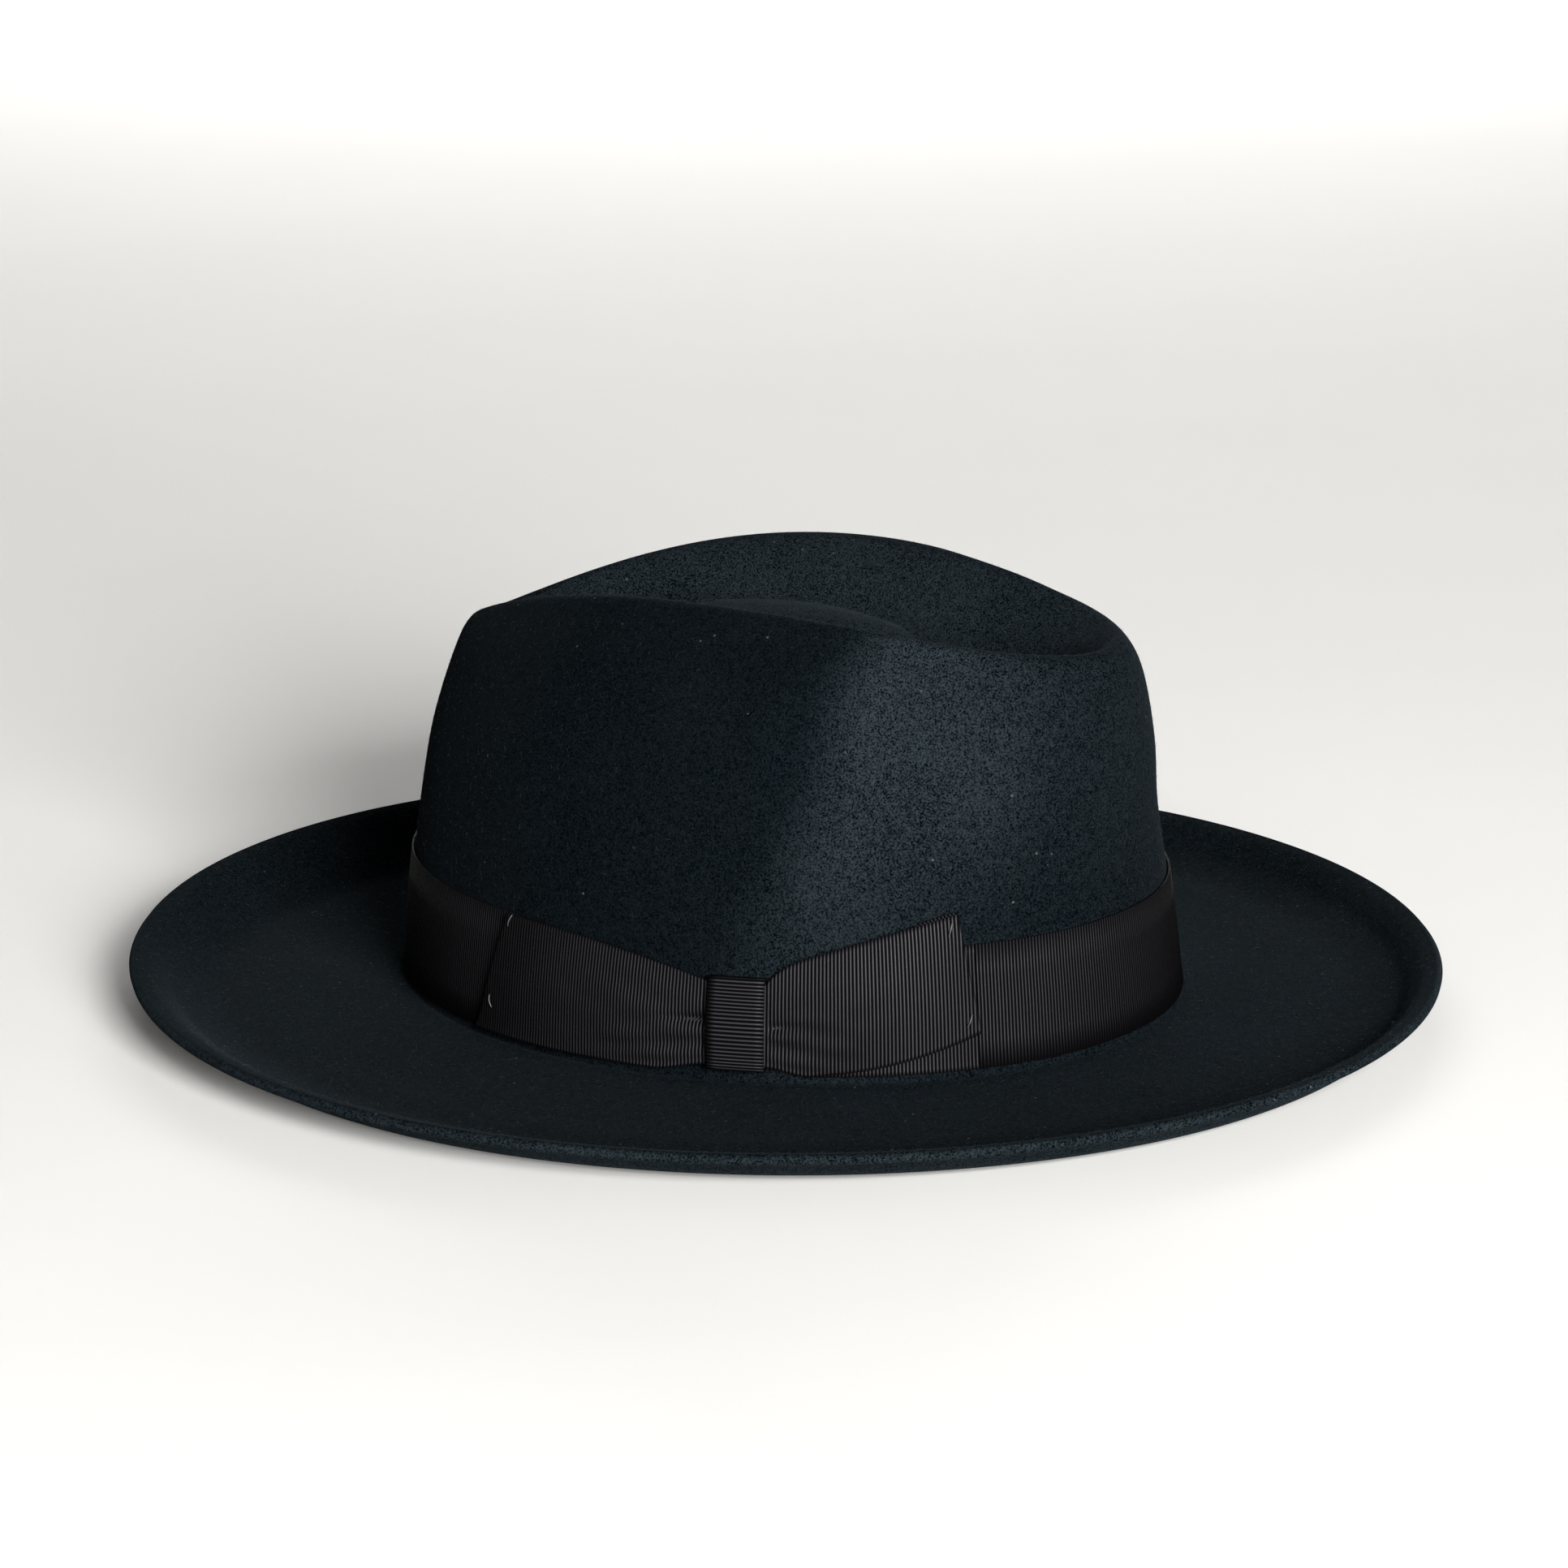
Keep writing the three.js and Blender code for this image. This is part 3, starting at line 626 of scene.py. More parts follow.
def fibre_tree():
    tree, given, result = new_tree("scatter_fibres", [
        ("Density", "NodeSocketFloat"), ("Length", "NodeSocketFloat"), ("Radius", "NodeSocketFloat"),
        ("Lift", "NodeSocketFloat"), ("Seed", "NodeSocketInt"), ("Material", "NodeSocketMaterial")])
    points = add(tree, "GeometryNodeDistributePointsOnFaces", None, Mesh=given.outputs["Geometry"],
                 Density=given.outputs["Density"], Seed=given.outputs["Seed"])
    half = math_node(tree, "MULTIPLY", given.outputs["Length"], 0.5)
    back = math_node(tree, "MULTIPLY", given.outputs["Length"], -0.5)
    start = add(tree, "ShaderNodeCombineXYZ", None, X=back, Y=0.0, Z=0.0)
    middle = add(tree, "ShaderNodeCombineXYZ", None, X=0.0, Y=half, Z=given.outputs["Lift"])
    end = add(tree, "ShaderNodeCombineXYZ", None, X=half, Y=0.0, Z=given.outputs["Lift"])
    curve = add(tree, "GeometryNodeCurveQuadraticBezier", None, Resolution=HAIR_SIDES,
                Start=start.outputs[0], Middle=middle.outputs[0], End=end.outputs[0])
    section = add(tree, "GeometryNodeCurvePrimitiveCircle", None, Resolution=HAIR_SIDES,
                  Radius=given.outputs["Radius"])
    fibre = add(tree, "GeometryNodeCurveToMesh", None, Curve=curve.outputs[0],
                Profile_Curve=section.outputs[0], Fill_Caps=True)
    spin = add(tree, "FunctionNodeRandomValue", {"data_type": "FLOAT_VECTOR"}, Seed=given.outputs["Seed"])
    spin.inputs[0].default_value = (-0.5, -0.5, 0)
    spin.inputs[1].default_value = (0.5, 0.5, 2 * math.pi)
    turned = add(tree, "FunctionNodeEulerToRotation", None, Euler=spin.outputs[0])
    both = add(tree, "FunctionNodeRotateRotation", {"rotation_space": "LOCAL"},
               Rotation=points.outputs["Rotation"], Rotate_By=turned.outputs[0])
    size = add(tree, "FunctionNodeRandomValue", {"data_type": "FLOAT"}, i2=0.5, i3=1.4)
    placed = add(tree, "GeometryNodeInstanceOnPoints", None, Points=points.outputs["Points"],
                 Instance=fibre.outputs[0], Rotation=both.outputs[0], Scale=size.outputs[1])
    return finish_tree(tree, given, result, placed.outputs[0])


def grown(source, tree, name, material, **values):
    """Runs a node tree on a piece and returns the result as a plain mesh of its own."""
    modifier = source.modifiers.new("nodes", "NODES")
    modifier.node_group = tree
    for key, value in values.items():
        modifier[socket_id(tree, key)] = value
    modifier[socket_id(tree, "Material")] = material
    graph = bpy.context.evaluated_depsgraph_get()
    mesh = bpy.data.meshes.new_from_object(source.evaluated_get(graph), depsgraph=graph)
    source.modifiers.remove(modifier)
    mesh.name = name
    piece = bpy.data.objects.new(name, mesh)
    scene.collection.objects.link(piece)
    return piece


def outside_of_felt():
    """The felt's outer face alone, without the part that the ribbon covers."""
    phi = np.arange(GROUND_SEGMENTS) / GROUND_SEGMENTS * 2 * np.pi
    faces = ring_faces(GROUND_ROWS, GROUND_SEGMENTS)
    parts = []
    for low, high in ((0.2, WALL_FOOT - 0.2), (WALL_TOP + 0.05, LAST - 1.0)):
        rows = [over_felt(phi, level, 0.0) for level in np.linspace(high, low, GROUND_ROWS)]
        parts.append(make_object("fibre_ground", np.concatenate(rows), faces, FELT))
    return parts


def loose_hairs():
    tree = fibre_tree()
    for number, (place, ground) in enumerate(zip(("brim", "crown"), outside_of_felt())):
        area = sum(face.area for face in ground.data.polygons)
        hairs = grown(ground, tree, "felt_hairs_" + place, FIBRE, Density=HAIR_COUNT / area,
                      Seed=FIRST_SEED + number, **HAIR)
        bpy.data.objects.remove(ground)
        settle(hairs, "wool_felt")


loose_hairs()

# %% [markdown]
# ## Grosgrain ribbon
# Grosgrain is woven with thick cords across its width, so its face is a row of fine ribs. They decide how
# the ribbon catches light, so they are real relief and not only a bump. The plain ribbon is made as a closed
# grid that stores how far along the ribbon each point lies. A node tree then sinks the valleys between the
# cords by a rounded wave of that distance, with the rib's pitch and depth as named inputs. The crests carry
# a painted highlight in the base colour, a painted sheen that fades where the ribbon turns its side to the
# eye, which Layer Weight gives.

# %% Ribbon material and ribs
RIB_PITCH = 0.88
RIB_DEPTH = 0.27
RIB_ROUNDNESS = 0.8  # below 1, the wave's crests are broad and its valleys narrow
COLUMNS_PER_RIB = 6
# The crest tone is a painted highlight in the ribbon's base colour, and its fall with the facing is a painted
# sheen. The lighter of the two ribbon colours below is that highlight; the darker is the ribbon's own colour.
CREST_SHARPNESS, PAINTED_SHEEN_FALL = 5.0, 3.6  # powers of the rib wave and of the facing
CREST_ROUGHNESS = 0.34
RIBBON_DARK, RIBBON_CREST_HIGHLIGHT = rgb(0.0001, 0.0001, 0.0002), rgb(0.0255, 0.0246, 0.0284)


def ribbon_material():
    kit = Kit("grosgrain")
    rib = (kit.stored("along") * (math.pi / RIB_PITCH)).sine().absolute()
    threads, clouds = kit.noise(2600), kit.noise(45)
    crest = (rib ** CREST_SHARPNESS * (0.65 + threads * 0.7)).clamped()
    facing = 1.0 - kit.number("ShaderNodeLayerWeight", None, {"Blend": 0.5}, output="Facing")
    # Painted highlight and sheen: the crests are lit in the base colour, and this fades as the ribbon turns
    # its side to the eye.
    tone = (crest * (0.6 + clouds * 0.7) * facing ** PAINTED_SHEEN_FALL).clamped()
    return kit.finish(
        Base_Color=kit.mix(tone, RIBBON_DARK, RIBBON_CREST_HIGHLIGHT),
        Roughness=(1.0 - crest * (1.0 - CREST_ROUGHNESS)).clamped(),
        Normal=kit.bump(threads, 0.00006, 0.6),
        Specular_IOR_Level=0.035,
    )


def rib_tree():
    tree, given, result = new_tree("grosgrain_ribs", [
        ("Pitch", "NodeSocketFloat"), ("Depth", "NodeSocketFloat"), ("Material", "NodeSocketMaterial")])
    along = add(tree, "GeometryNodeInputNamedAttribute", {"data_type": "FLOAT"}, Name="along")
    face = add(tree, "GeometryNodeInputNamedAttribute", {"data_type": "FLOAT"}, Name="face")
    turns = math_node(tree, "DIVIDE", along.outputs[0], given.outputs["Pitch"])
    wave = math_node(tree, "SINE", math_node(tree, "MULTIPLY", turns, math.pi))
    cord = math_node(tree, "POWER", math_node(tree, "ABSOLUTE", wave), RIB_ROUNDNESS)
    deep = math_node(tree, "MULTIPLY", math_node(tree, "SUBTRACT", cord, 1.0), given.outputs["Depth"])
    normal = add(tree, "GeometryNodeInputNormal")
    push = add(tree, "ShaderNodeVectorMath", {"operation": "SCALE"}, i0=normal.outputs[0],
               Scale=math_node(tree, "MULTIPLY", deep, face.outputs[0]))
    moved = add(tree, "GeometryNodeSetPosition", None, Geometry=given.outputs["Geometry"],
                Offset=push.outputs[0])
    return finish_tree(tree, given, result, moved.outputs[0])


GROSGRAIN = ribbon_material()
RIBS = rib_tree()


def ribbed(name, path, across, columns):
    """A ribbon from path(u, v) -> (outer points, inner points, mm along). Closed all round, with ribs."""
    u, v = np.meshgrid(np.linspace(0, 1, columns + 1), np.linspace(0, 1, across + 1), indexing="ij")
    outer, inner, along = path(u, v)
    plain = closed_strip(name + "_plain", outer, inner, GROSGRAIN)
    store(plain, "along", np.concatenate([along, along[:, ::-1]], 1))
    store(plain, "face", np.concatenate([np.ones_like(along), np.zeros_like(along)], 1))
    piece = grown(plain, RIBS, name, GROSGRAIN, Pitch=RIB_PITCH, Depth=RIB_DEPTH * MM)
    bpy.data.objects.remove(plain)
    return piece


def columns_for(length):
    return int(round(length / RIB_PITCH * COLUMNS_PER_RIB))


# %% [markdown]
# ## Places on the crown's wall
# The band and the bow are flat ribbon laid on a curved wall. They are easiest to draw flat: x runs along the
# ribbon from the middle of the bow towards the hat's front, h runs up from the band's lower edge, and a table
# of distances round the wall turns x into an angle.

# %% Wall coordinates
GAP = 0.35
STEPS = 1440
BOW_ANGLE = math.radians(68.7)
table_phi = np.linspace(0, 2 * np.pi, STEPS + 1)
table_points = on_face(table_phi, (WALL_FOOT + WALL_TOP) / 2)
table_travel = np.concatenate([[0], np.cumsum(np.linalg.norm(np.diff(table_points, axis=0), axis=1))])
ROUND = table_travel[-1]
BOW_PLACE = float(np.interp(BOW_ANGLE, table_phi, table_travel))


def wall_level(h):
    return WALL_FOOT + (WALL_TOP - WALL_FOOT) * h / RIBBON_WIDTH


def on_wall(x, h, height):
    phi = np.interp((BOW_PLACE - x) % ROUND, table_travel, table_phi)
    return over_felt(phi, wall_level(h), height)


print("round the wall", round(ROUND, 1), "mm")

# %% [markdown]
# ## The band and the ribbon under the bow
# The band goes round the crown's foot, and its two ends meet under the bow. There the ribbon is gathered to
# the bow's waist, so it narrows. It is one woven ribbon on the real hat, cut at the front of the bow, where
# a straight edge shows.

# %% Band and under ribbon
BOW_REAR, BOW_FRONT = 59.6, 46.1
WAIST_FOOT, WAIST_HEAD = 3.2, 22.2
KEEPER_WIDTH, KEEPER_THICK, KEEPER_EASE = 13.8, 0.7, 0.5
LAP_FRONT = BOW_FRONT + KEEPER_WIDTH / 2 + 4
LAP_REAR = BOW_REAR + KEEPER_WIDTH / 2 - 1
REAR_REACH, FRONT_REACH = 9.0, 4.5
FRONT_LIFT, FRONT_FOOT = 6.5, 9.5


BAND_WAVE = 0.12  # how far the band strays from its line, in mm
PLEAT_DEPTH, PLEAT_COUNT = 0.22, 21  # of the ribbon gathered under the bow


def opening(run, side=-1):
    """How far a wing has opened out from the waist. The front wing opens fast, then runs straight."""
    if side > 0:
        return 0.3 * (1 - np.exp(-run / 0.08)) + 0.7 * run
    return 1 - (1 - run) ** 2.4


def foot_of(run):
    return WAIST_FOOT * (1 - ease(run, 0, 0.22))


def run_to(x, length):
    """0 at the keeper's side, 1 at the wing's end."""
    return np.clip((np.abs(x) - KEEPER_WIDTH / 2) / length, 0, 1)


def band_path(u, v):
    x = LAP_FRONT + GAP + u * BAND_LENGTH
    h = v * RIBBON_WIDTH + BAND_WAVE * np.sin(x / 23) * np.sin(x / 9.1)
    return on_wall(x, h, GAP + RIBBON_THICK), on_wall(x, h, GAP), x


BAND_LENGTH = ROUND - LAP_FRONT - LAP_REAR - 2 * GAP
band = ribbed("ribbon_band", band_path, 4, columns_for(BAND_LENGTH))
settle(band, "grosgrain", "hat_band")


def base_path(u, v):
    x = mix(-LAP_REAR, LAP_FRONT, u)
    run = run_to(x, np.where(x > 0, BOW_FRONT, BOW_REAR))
    head = mix(WAIST_HEAD, RIBBON_WIDTH, opening(run)) - 0.8 * (1 - ease(run, 0.75, 1))
    h = mix(foot_of(run), head, v)
    pleats = PLEAT_DEPTH * np.sin(v * PLEAT_COUNT) * (1 - ease(run, 0.05, 0.6))
    return on_wall(x, h, GAP + RIBBON_THICK + pleats), on_wall(x, h, GAP), x


BASE_LENGTH = LAP_FRONT + LAP_REAR
base = ribbed("ribbon_under_bow", base_path, 16, columns_for(BASE_LENGTH))
settle(base, "grosgrain", "bow_base")

# %% [markdown]
# ## The bow's wings
# Each wing is a ribbon folded back on itself: it leaves the waist, turns round at its end, and comes back
# underneath. A path in x and height says where the ribbon's middle runs, and the ribbon's thickness goes to
# both sides of it. Near the waist the ribbon is squeezed, so a pleat and soft ripples run out of the keeper
# and die away. Each of them is a height in mm that fades with the run, from 0 at the waist to 1 at the end.

# %% Wings
LEG_GAP = 0.12
LOWER_LEG = 2 * GAP + RIBBON_THICK + RIBBON_THICK / 2
UPPER_LEG = LOWER_LEG + RIBBON_THICK + LEG_GAP
PUFF, PLEAT, RIPPLE, SWELL = 0.95, -0.85, 0.3, 0.13


def bell(x, middle, reach):
    return np.exp(-(((x - middle) / reach) ** 2))


def folded_line(u, end, fold):
    """Along a folded ribbon: distance, x, height, and the turn so far, 0 on the upper leg to pi below."""
    leg, turn = end - GAP / 2, math.pi * fold
    s = u * (2 * leg + turn)
    arc = np.clip((s - leg) / turn, 0, 1) * math.pi
    back = np.where(s > leg + turn, end - (s - leg - turn), end + fold * np.sin(arc))
    x = np.where(s < leg, GAP / 2 + s, back)
    return s, x, mix(UPPER_LEG, LOWER_LEG, (1 - np.cos(arc)) / 2), arc


def squeezed(run, v, h, pleat_height):
    """The relief that the keeper presses into a wing's upper leg, in mm."""
    puff = PUFF * np.sin(np.pi * v) * bell(run, 0.4, 0.28)
    pleat = PLEAT * bell(h, pleat_height, 0.75) * (1 - ease(run, 0.03, 0.33))
    ripple = RIPPLE * np.sin(h * 1.25 + run * 11) * bell(v, 0.25, 0.22) * (1 - ease(run, 0.08, 0.6))
    swell = SWELL * np.sin(h * 0.8 - run * 17 + 1.0) * (1 - ease(run, 0.2, 0.8)) * np.sin(np.pi * v)
    return puff + pleat + ripple + swell


def wing_path(side, reach, slant, pleat_height, lift, foot_rise, peek_rise, peek_start):
    def path(u, v):
        fold = (UPPER_LEG - LOWER_LEG) / 2
        end = reach + KEEPER_WIDTH / 2 + slant * (1 - v) - fold
        s, x, height, arc = folded_line(u, end, fold)
        run, under = run_to(x, end - KEEPER_WIDTH / 2), arc / math.pi
        head = mix(WAIST_HEAD, RIBBON_WIDTH + lift, opening(run, side))
        head = head + under * (peek_rise * ease(run, 0.7, 0.85) + peek_start) * ease(run, 0.1, 0.4)
        h = mix(foot_of(run) + foot_rise * run**1.7, head, v)
        clear = ease(np.abs(x), KEEPER_WIDTH / 2 - 1, KEEPER_WIDTH / 2 + 2)
        height = height + (1 - under) * squeezed(run, v, h, pleat_height + 1.5 * run * side) * clear
        across, out = np.sin(arc) * RIBBON_THICK / 2, np.cos(arc) * RIBBON_THICK / 2
        return on_wall(side * (x + across), h, height + out), on_wall(side * (x - across), h, height - out), s

    return path, 2 * (reach + KEEPER_WIDTH / 2 + slant / 2)


WINGS = {
    "ribbon_rear_wing": ("bow_rear_wing", wing_path(
        -1, BOW_REAR, REAR_REACH, pleat_height=13.2, lift=0.0, foot_rise=0.0,
        peek_rise=0.0, peek_start=-0.3)),
    "ribbon_front_wing": ("bow_front_wing", wing_path(
        1, BOW_FRONT, FRONT_REACH, pleat_height=12.0, lift=FRONT_LIFT, foot_rise=FRONT_FOOT,
        peek_rise=0.8, peek_start=-0.4)),
}
for name, (node, (path, length)) in WINGS.items():
    wing = ribbed(name, path, 26, columns_for(length))
    settle(wing, "grosgrain", node)

# %% [markdown]
# ## The keeper
# A short strap of the same ribbon goes round the bow's waist and is sewn behind it. Its ribs run across the
# strap, so they lie level. The path goes up the strap's face, over its rounded edges and back to the felt.

# %% Keeper
KEEPER_CORNER, KEEPER_SWELL, KEEPER_ROOT = 1.1, 0.75, GAP + 0.1
KEEPER_CLEARANCE = 1.4  # from the ribbons under the strap to its own underside
CORNER_TURNS = np.arange(1, 8) / 8 * math.pi / 2


def keeper_outline():
    """Points (h, height) along the strap's middle, from the felt below to the felt above."""
    half, corner = KEEPER_THICK / 2, KEEPER_CORNER
    face = 3 * GAP + RIBBON_THICK + KEEPER_CLEARANCE + half
    foot = WAIST_FOOT - KEEPER_EASE - GAP - half
    head = WAIST_HEAD + KEEPER_EASE + GAP + half
    low, high = face - corner * (1 - np.sin(CORNER_TURNS)), face - corner * (1 - np.cos(CORNER_TURNS))
    share = np.linspace(0, 1, 20)
    points = [(foot, KEEPER_ROOT), (foot, face - corner)]
    points += zip(foot + corner * (1 - np.cos(CORNER_TURNS)), low)
    points += zip(mix(foot + corner, head - corner, share), face + KEEPER_SWELL * np.sin(math.pi * share))
    points += zip(head - corner * (1 - np.sin(CORNER_TURNS)), high)
    points += [(head, face - corner), (head, KEEPER_ROOT)]
    return np.array(points)


LOOK = 0.05  # mm to each side, to find which way the outline goes


def keeper_path(u, v):
    line = keeper_outline()
    travel = np.concatenate([[0], np.cumsum(np.linalg.norm(np.diff(line, axis=0), axis=1))])
    s = u * travel[-1]
    h, height = (np.interp(s, travel, line[:, k]) for k in (0, 1))
    ahead = [np.interp(s + LOOK, travel, values) - np.interp(s - LOOK, travel, values) for values in line.T]
    size = np.maximum(np.hypot(*ahead), 1e-6)
    nh, nt = -ahead[1] / size, ahead[0] / size
    x = KEEPER_WIDTH * (v - 0.5)
    half = KEEPER_THICK / 2
    return on_wall(x, h + nh * half, height + nt * half), on_wall(x, h - nh * half, height - nt * half), s


def length_of(points):
    return float(np.linalg.norm(np.diff(points, axis=0), axis=1).sum())


KEEPER_LENGTH = length_of(keeper_outline())
keeper = ribbed("ribbon_keeper", keeper_path, 6, columns_for(KEEPER_LENGTH))
settle(keeper, "grosgrain", "bow_keeper")

# %% [markdown]
# ## Thread
# The wings are held down by a few tack stitches, each one short loop of thread. A tube along a bent line
# makes the loop, and a fine noise in its bump stands for the fibres.

# %% Thread, tubes and tacks
def thread_material():
    kit = Kit("sewing_thread")
    tone = kit.noise(1800, 1.0)
    return kit.finish(
        Base_Color=kit.mix(tone, rgb(0.012, 0.012, 0.014), rgb(0.05, 0.048, 0.054)),
        Roughness=0.45 + tone * 0.2,
        Normal=kit.bump(tone, 0.0001, 0.8),
    )


THREAD = thread_material()


TAPER = 0.45  # of the radius, at an open tube's ends


def tube(name, line, radius, sides, material, closed=False):
    """A round cord along points in mm."""
    line = np.asarray(line, float)
    ahead = np.roll(line, -1, 0) - np.roll(line, 1, 0)
    if not closed:
        ahead[0], ahead[-1] = line[1] - line[0], line[-1] - line[-2]
    ahead /= np.linalg.norm(ahead, axis=1, keepdims=True)
    side = np.cross(ahead, (0.0, 0.0, 1.0))
    side[np.linalg.norm(side, axis=1) < 0.05] = (1.0, 0.0, 0.0)  # where the line goes straight up
    side /= np.linalg.norm(side, axis=1, keepdims=True)
    up = np.cross(side, ahead)
    turn = np.arange(sides) / sides * 2 * np.pi
    size = np.full(len(line), radius)
    if not closed:
        size[[0, -1]] = radius * TAPER
    rows = line[:, None] + size[:, None, None] * (
        np.cos(turn)[None, :, None] * side[:, None] + np.sin(turn)[None, :, None] * up[:, None])
    faces = ring_faces(len(line), sides, closed)
    if not closed:
        last = (len(line) - 1) * sides
        faces += [tuple(range(sides))[::-1], tuple(range(last, last + sides))]
    return facing_out(make_object(name, rows.reshape(-1, 3), faces, material))


TACK_LENGTH, TACK_RISE, TACK_RADIUS = 2.8, 0.45, 0.14
TACK_SLOPE = 2.6
WING_FACE = UPPER_LEG + RIBBON_THICK / 2
TACKS = {  # x, h, and how far the stitch leans
    "rear_tack_upper": ("tack_rear_upper", -64.8, 28.6, 0.5),
    "rear_tack_lower": ("tack_rear_lower", -69.8, 8.5, -0.4),
    "front_tack_upper": ("tack_front_upper", 51.0, 33.6, 0.4),
    "front_tack_lower": ("tack_front_lower", 54.6, 12.6, 0.5),
}
for node, (name, x, h, lean) in TACKS.items():
    turn = np.linspace(0, 1, 13)
    rise = WING_FACE + 0.15 + TACK_RISE * np.sin(turn * math.pi)
    points = on_wall(x + lean * (turn - 0.5) * TACK_SLOPE, h + (turn - 0.5) * TACK_LENGTH, rise)
    settle(tube(name, points, TACK_RADIUS, 8, THREAD), "thread", node)

# %% [markdown]
# ## Inside the crown
# A strip of thin leather sits against the head. A reed, a round cord that keeps the opening smooth, runs
# just below its lower edge, and a line of stitches holds the strip to the felt. At the back a small bow
# covers the joint. None of it shows from outside, but a hat is looked at from below too.

# %% Leather, reed and label materials
def leather_material():
    kit = Kit("sweatband_leather")
    cells = kit.number("ShaderNodeTexVoronoi", {"feature": "DISTANCE_TO_EDGE"},
                       {"Vector": kit.place(), "Scale": 900.0})
    folds = kit.noise(90, 3.0)
    tone = (folds * 1.2 - 0.1).clamped()
    return kit.finish(
        Base_Color=kit.mix(tone, rgb(0.010, 0.008, 0.007), rgb(0.024, 0.019, 0.016)),
        Roughness=0.42 + folds * 0.2,
        Normal=kit.bump((cells * 3.0).clamped() + folds * 0.5, 0.0001, 0.6),
    )


def reed_material():
    kit = Kit("reed_cord")
    tone = kit.noise(200, 2.0)
    return kit.finish(
        Base_Color=kit.mix(tone, rgb(0.016, 0.014, 0.012), rgb(0.034, 0.03, 0.026)),
        Roughness=0.35 + tone * 0.15,
        Normal=kit.bump(tone, 0.00005, 0.5),
    )


def label_material():
    kit = Kit("label_cloth")
    warp = kit.number("ShaderNodeTexWave", {"wave_type": "BANDS", "bands_direction": "Z"},
                      {"Vector": kit.place(), "Scale": 700.0, "Distortion": 0.4})
    tone = (warp * 0.7 + kit.noise(500, 2.0) * 0.4).clamped()
    return kit.finish(
        Base_Color=kit.mix(tone, rgb(0.42, 0.39, 0.33), rgb(0.68, 0.65, 0.57)),
        Roughness=0.75 + tone * 0.1,
        Normal=kit.bump(warp, 0.00006, 0.6),
    )


LEATHER, REED, LABEL = leather_material(), reed_material(), label_material()
INSIDE = -(FELT_THICK + GAP)
BAND_THICK, SWEATBAND_WIDTH = 0.9, 34.0
SEAM_GAP = 0.4  # from the back seam to each end of the strip


def patch(name, point, across, along, outside, inner, material):
    """A closed strip inside the crown: point(u, v) gives an angle and a ring level, inner(u, v) a depth."""
    u, v = np.meshgrid(np.linspace(0, 1, along + 1), np.linspace(0, 1, across + 1), indexing="ij")
    phi, level = point(u, v)
    return closed_strip(name, over_felt(phi, level, outside), over_felt(phi, level, inner(u, v)), material)


def sweatband_piece():
    half = SEAM_GAP / HEAD_WIDTH

    def point(u, v):
        return np.pi + half + u * (2 * np.pi - 2 * half), wall_level(v * SWEATBAND_WIDTH)

    def inner(u, v):
        soften = 0.3 * np.exp(-((v - 1) / 0.03) ** 2)
        roll = 0.12 * np.sin(v * 26) * np.exp(-v * 8)
        return INSIDE - BAND_THICK + soften + roll

    return patch("sweatband_leather_strip", point, 24, 300, INSIDE, inner, LEATHER)


strip = settle(sweatband_piece(), "sweatband_leather", "sweatband")
STRIP_LENGTH = length_of(over_felt(table_phi, WALL_FOOT + 1, INSIDE))


LINE_POINTS = 240


def ring_line(level, depth):
    return over_felt(np.arange(LINE_POINTS) / LINE_POINTS * 2 * np.pi, level, depth)


REED_RADIUS = 1.1
reed_line = ring_line(WALL_FOOT - 0.62, INSIDE - REED_RADIUS)
settle(tube("reed_in_hem", reed_line, REED_RADIUS, 14, REED, closed=True), "reed_plastic", "sweatband_reed")

# %% [markdown]
# ## The sweatband's stitches
# Some two hundred equal stitches follow one line round the head. A node tree samples the line at the
# stitch's pitch and puts a small lozenge of thread on each point, turned to follow the line.

# %% Stitches along a line
def stitch_tree():
    tree, given, result = new_tree("stitches_on_line", [
        ("Pitch", "NodeSocketFloat"), ("Length", "NodeSocketFloat"), ("Radius", "NodeSocketFloat"),
        ("Material", "NodeSocketMaterial")])
    line = add(tree, "GeometryNodeMeshToCurve", None, Mesh=given.outputs["Geometry"])
    points = add(tree, "GeometryNodeCurveToPoints", {"mode": "LENGTH"}, Curve=line.outputs[0],
                 Length=given.outputs["Pitch"])
    bead = add(tree, "GeometryNodeMeshUVSphere", None, Segments=6, Rings=5, Radius=1.0)
    size = add(tree, "ShaderNodeCombineXYZ", None, X=given.outputs["Radius"], Y=given.outputs["Radius"],
               Z=given.outputs["Length"])
    shaped = add(tree, "GeometryNodeTransform", None, Geometry=bead.outputs[0], Scale=size.outputs[0])
    placed = add(tree, "GeometryNodeInstanceOnPoints", None, Points=points.outputs["Points"],
                 Instance=shaped.outputs[0], Rotation=points.outputs["Rotation"])
    return finish_tree(tree, given, result, placed.outputs[0])


def line_object(name, points):
    mesh = bpy.data.meshes.new(name)
    count = len(points)
    mesh.from_pydata((points * MM).tolist(), [(k, (k + 1) % count) for k in range(count)], [])
    piece = bpy.data.objects.new(name, mesh)
    scene.collection.objects.link(piece)
    return piece


STITCH = {"Pitch": 0.0028, "Length": 0.00105, "Radius": 0.00026}  # m
seam = line_object("seam_line", ring_line(WALL_FOOT + 0.16, INSIDE - BAND_THICK - 0.28))
stitches = grown(seam, stitch_tree(), "sweatband_stitches", THREAD, **STITCH)
bpy.data.objects.remove(seam)
settle(stitches, "thread", "sweatband_thread")

# %% [markdown]
# ## The back bow and the label
# These are small flat pieces on the inside of the sweatband, made with the same strip helper. The label is
# left blank.

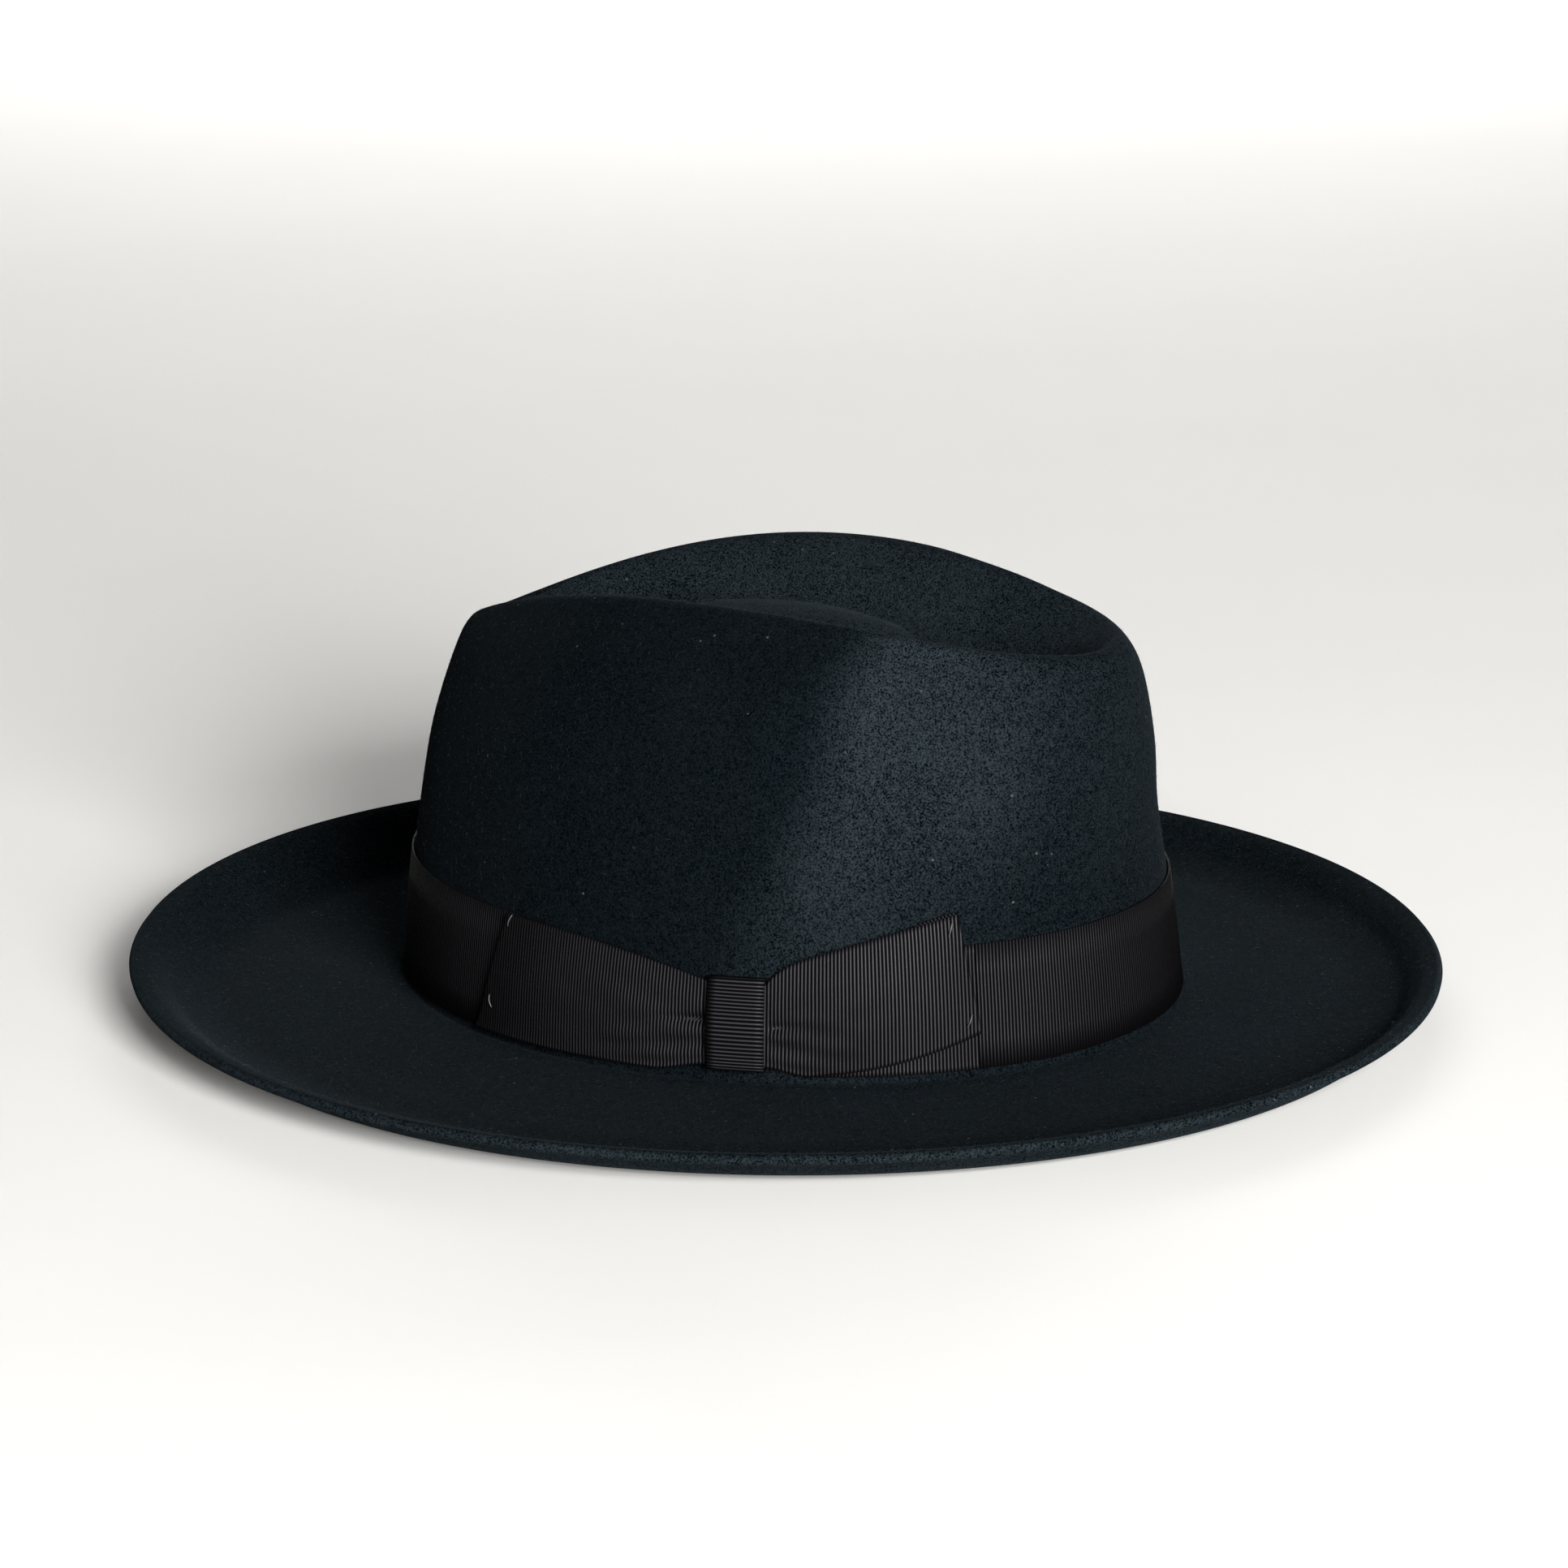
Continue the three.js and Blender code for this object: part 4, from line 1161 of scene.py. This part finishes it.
# %% Tab, back bow and label
ON_BAND = INSIDE - BAND_THICK - GAP
BOW_LIFT = 0.95  # the back bow lies on the tab
LOOP_START, LOOP_REACH, LOOP_HEIGHT, LOOP_THICK = 1.5 + GAP, 9.0, 7.0, 0.8
LOOP_MIDDLE = SWEATBAND_WIDTH - 9
KNOT_WIDTH, KNOT_FOOT, KNOT_HEAD, KNOT_THICK = 3.5, 22.6, 27.4, 1.2
TAB_WIDTH, TAB_FOOT, TAB_HEAD, TAB_THICK = 9, 6, 31, 0.6
LABEL_ANGLE, LABEL_WIDTH, LABEL_FOOT, LABEL_HEIGHT, LABEL_THICK = 160, 22, 10, 12, 0.35
BACK = 180


def mark_along(piece):
    """Lets the ribs follow x, which runs along the ribbon at the back of the head."""
    store(piece, "along", [point.co.x / MM for point in piece.data.vertices])
    return piece


def flat_patch(name, material, angle, width, low, high, thick, lift=0.0):
    half = width / 2 / HEAD_LENGTH

    def point(u, v):
        corner = 1 - 0.12 * np.maximum(0, np.abs(2 * v - 1) - 0.75)
        return math.radians(angle) + mix(-half, half, 0.5 + (u - 0.5) * corner), wall_level(mix(low, high, v))

    def inner(u, v):
        return ON_BAND - lift - thick * (0.8 + 0.2 * np.sin(np.pi * u) * np.sin(np.pi * v))

    return patch(name, point, 12, 12, ON_BAND - lift, inner, material)


def bow_loop(name, side):
    def point(u, v):
        opened = LOOP_HEIGHT * mix(0.35, 1.0, ease(u, 0, 1))
        return np.pi + side * (LOOP_START + LOOP_REACH * u) / HEAD_WIDTH, wall_level(
            LOOP_MIDDLE + opened * (v - 0.5))

    def inner(u, v):
        bulge = 0.75 + 0.25 * np.sin(np.pi * u)
        return ON_BAND - BOW_LIFT - LOOP_THICK * bulge + 0.12 * np.sin(v * 9)

    return mark_along(patch(name, point, 10, 12, ON_BAND - BOW_LIFT, inner, GROSGRAIN))


tab = flat_patch("seam_tab_leather", LEATHER, BACK, TAB_WIDTH, TAB_FOOT, TAB_HEAD, TAB_THICK)
settle(tab, "sweatband_leather", "sweatband_seam_tab")
settle(bow_loop("back_bow_loop_a", -1), "grosgrain", "back_bow_left_loop")
settle(bow_loop("back_bow_loop_b", 1), "grosgrain", "back_bow_right_loop")
knot = flat_patch("back_bow_knot", GROSGRAIN, BACK, KNOT_WIDTH, KNOT_FOOT, KNOT_HEAD, KNOT_THICK, BOW_LIFT)
settle(mark_along(knot), "grosgrain", "back_bow_tie")
label = flat_patch("blank_size_label", LABEL, LABEL_ANGLE, LABEL_WIDTH, LABEL_FOOT, LABEL_FOOT + LABEL_HEIGHT,
                   LABEL_THICK)
settle(label, "label_cloth", "size_label")

# %% [markdown]
# ## Floor and light
# The hat stands on a round pale floor that curves up into a pale wall. The main light is a large soft panel
# on the camera's side, a little to its right and about as low, which models the crown's dents. A weaker
# panel on the far side and a faint world light lift the hat's edges.

# %% Floor, backdrop and lights
PAPER_DARK, PAPER_LIGHT = rgb(0.52, 0.515, 0.50), rgb(0.56, 0.555, 0.54)
FLOOR_RADIUS, COVE, WALL_HEIGHT = 2.1, 0.7, 1.9  # m
SWEEP_SEGMENTS = 96
AZIMUTH = math.degrees(VIEW_AZIMUTH)
WORLD_COLOUR, WORLD_STRENGTH = rgb(0.93, 0.95, 1.0), 0.05


def backdrop():
    kit = Kit("pale_paper")
    tone = kit.noise(6)
    material = kit.finish(Base_Color=kit.mix(tone, PAPER_DARK, PAPER_LIGHT), Roughness=0.85 + tone * 0.05)
    corner = np.linspace(0, math.pi / 2, 14)[1:]
    radius = [0.6, 1.4, FLOOR_RADIUS, *(FLOOR_RADIUS + COVE * np.sin(corner)), FLOOR_RADIUS + COVE]
    height = [0.0, 0.0, 0.0, *(COVE - COVE * np.cos(corner)), WALL_HEIGHT]
    turn = np.arange(SWEEP_SEGMENTS) / SWEEP_SEGMENTS * 2 * np.pi
    rows = [np.stack([r * np.cos(turn), r * np.sin(turn), np.full_like(turn, z)], -1)
            for r, z in zip(radius, height)]
    faces = ring_faces(len(rows), SWEEP_SEGMENTS) + [tuple(range(SWEEP_SEGMENTS))[::-1]]
    make_object("studio_sweep", np.concatenate(rows) / MM, faces, material)


def panel(name, azimuth, height, distance, width, tall, power):
    """A soft light. Azimuth and height are degrees, the rest is metres and watts."""
    data = bpy.data.lights.new(name, "AREA")
    data.shape, data.size, data.size_y = "RECTANGLE", width, tall
    data.energy = power
    light = bpy.data.objects.new(name, data)
    turn, lift = math.radians(azimuth), math.radians(height)
    place = Vector((math.sin(turn) * math.cos(lift), -math.cos(turn) * math.cos(lift), math.sin(lift)))
    light.location = place * distance
    light.rotation_euler = place.to_track_quat("Z", "Y").to_euler()
    scene.collection.objects.link(light)


backdrop()
panel("window_panel", AZIMUTH + 20, 19, 2.3, 0.9, 0.9, 200)
panel("back_panel", AZIMUTH + 178, 20, 2.5, 1.4, 0.5, 34)
world = bpy.data.worlds.new("pale_room")
world.use_nodes = True
world.node_tree.nodes["Background"].inputs["Color"].default_value = WORLD_COLOUR
world.node_tree.nodes["Background"].inputs["Strength"].default_value = WORLD_STRENGTH
scene.world = world
scene.view_settings.view_transform = "Standard"
print("stage and lights ready")
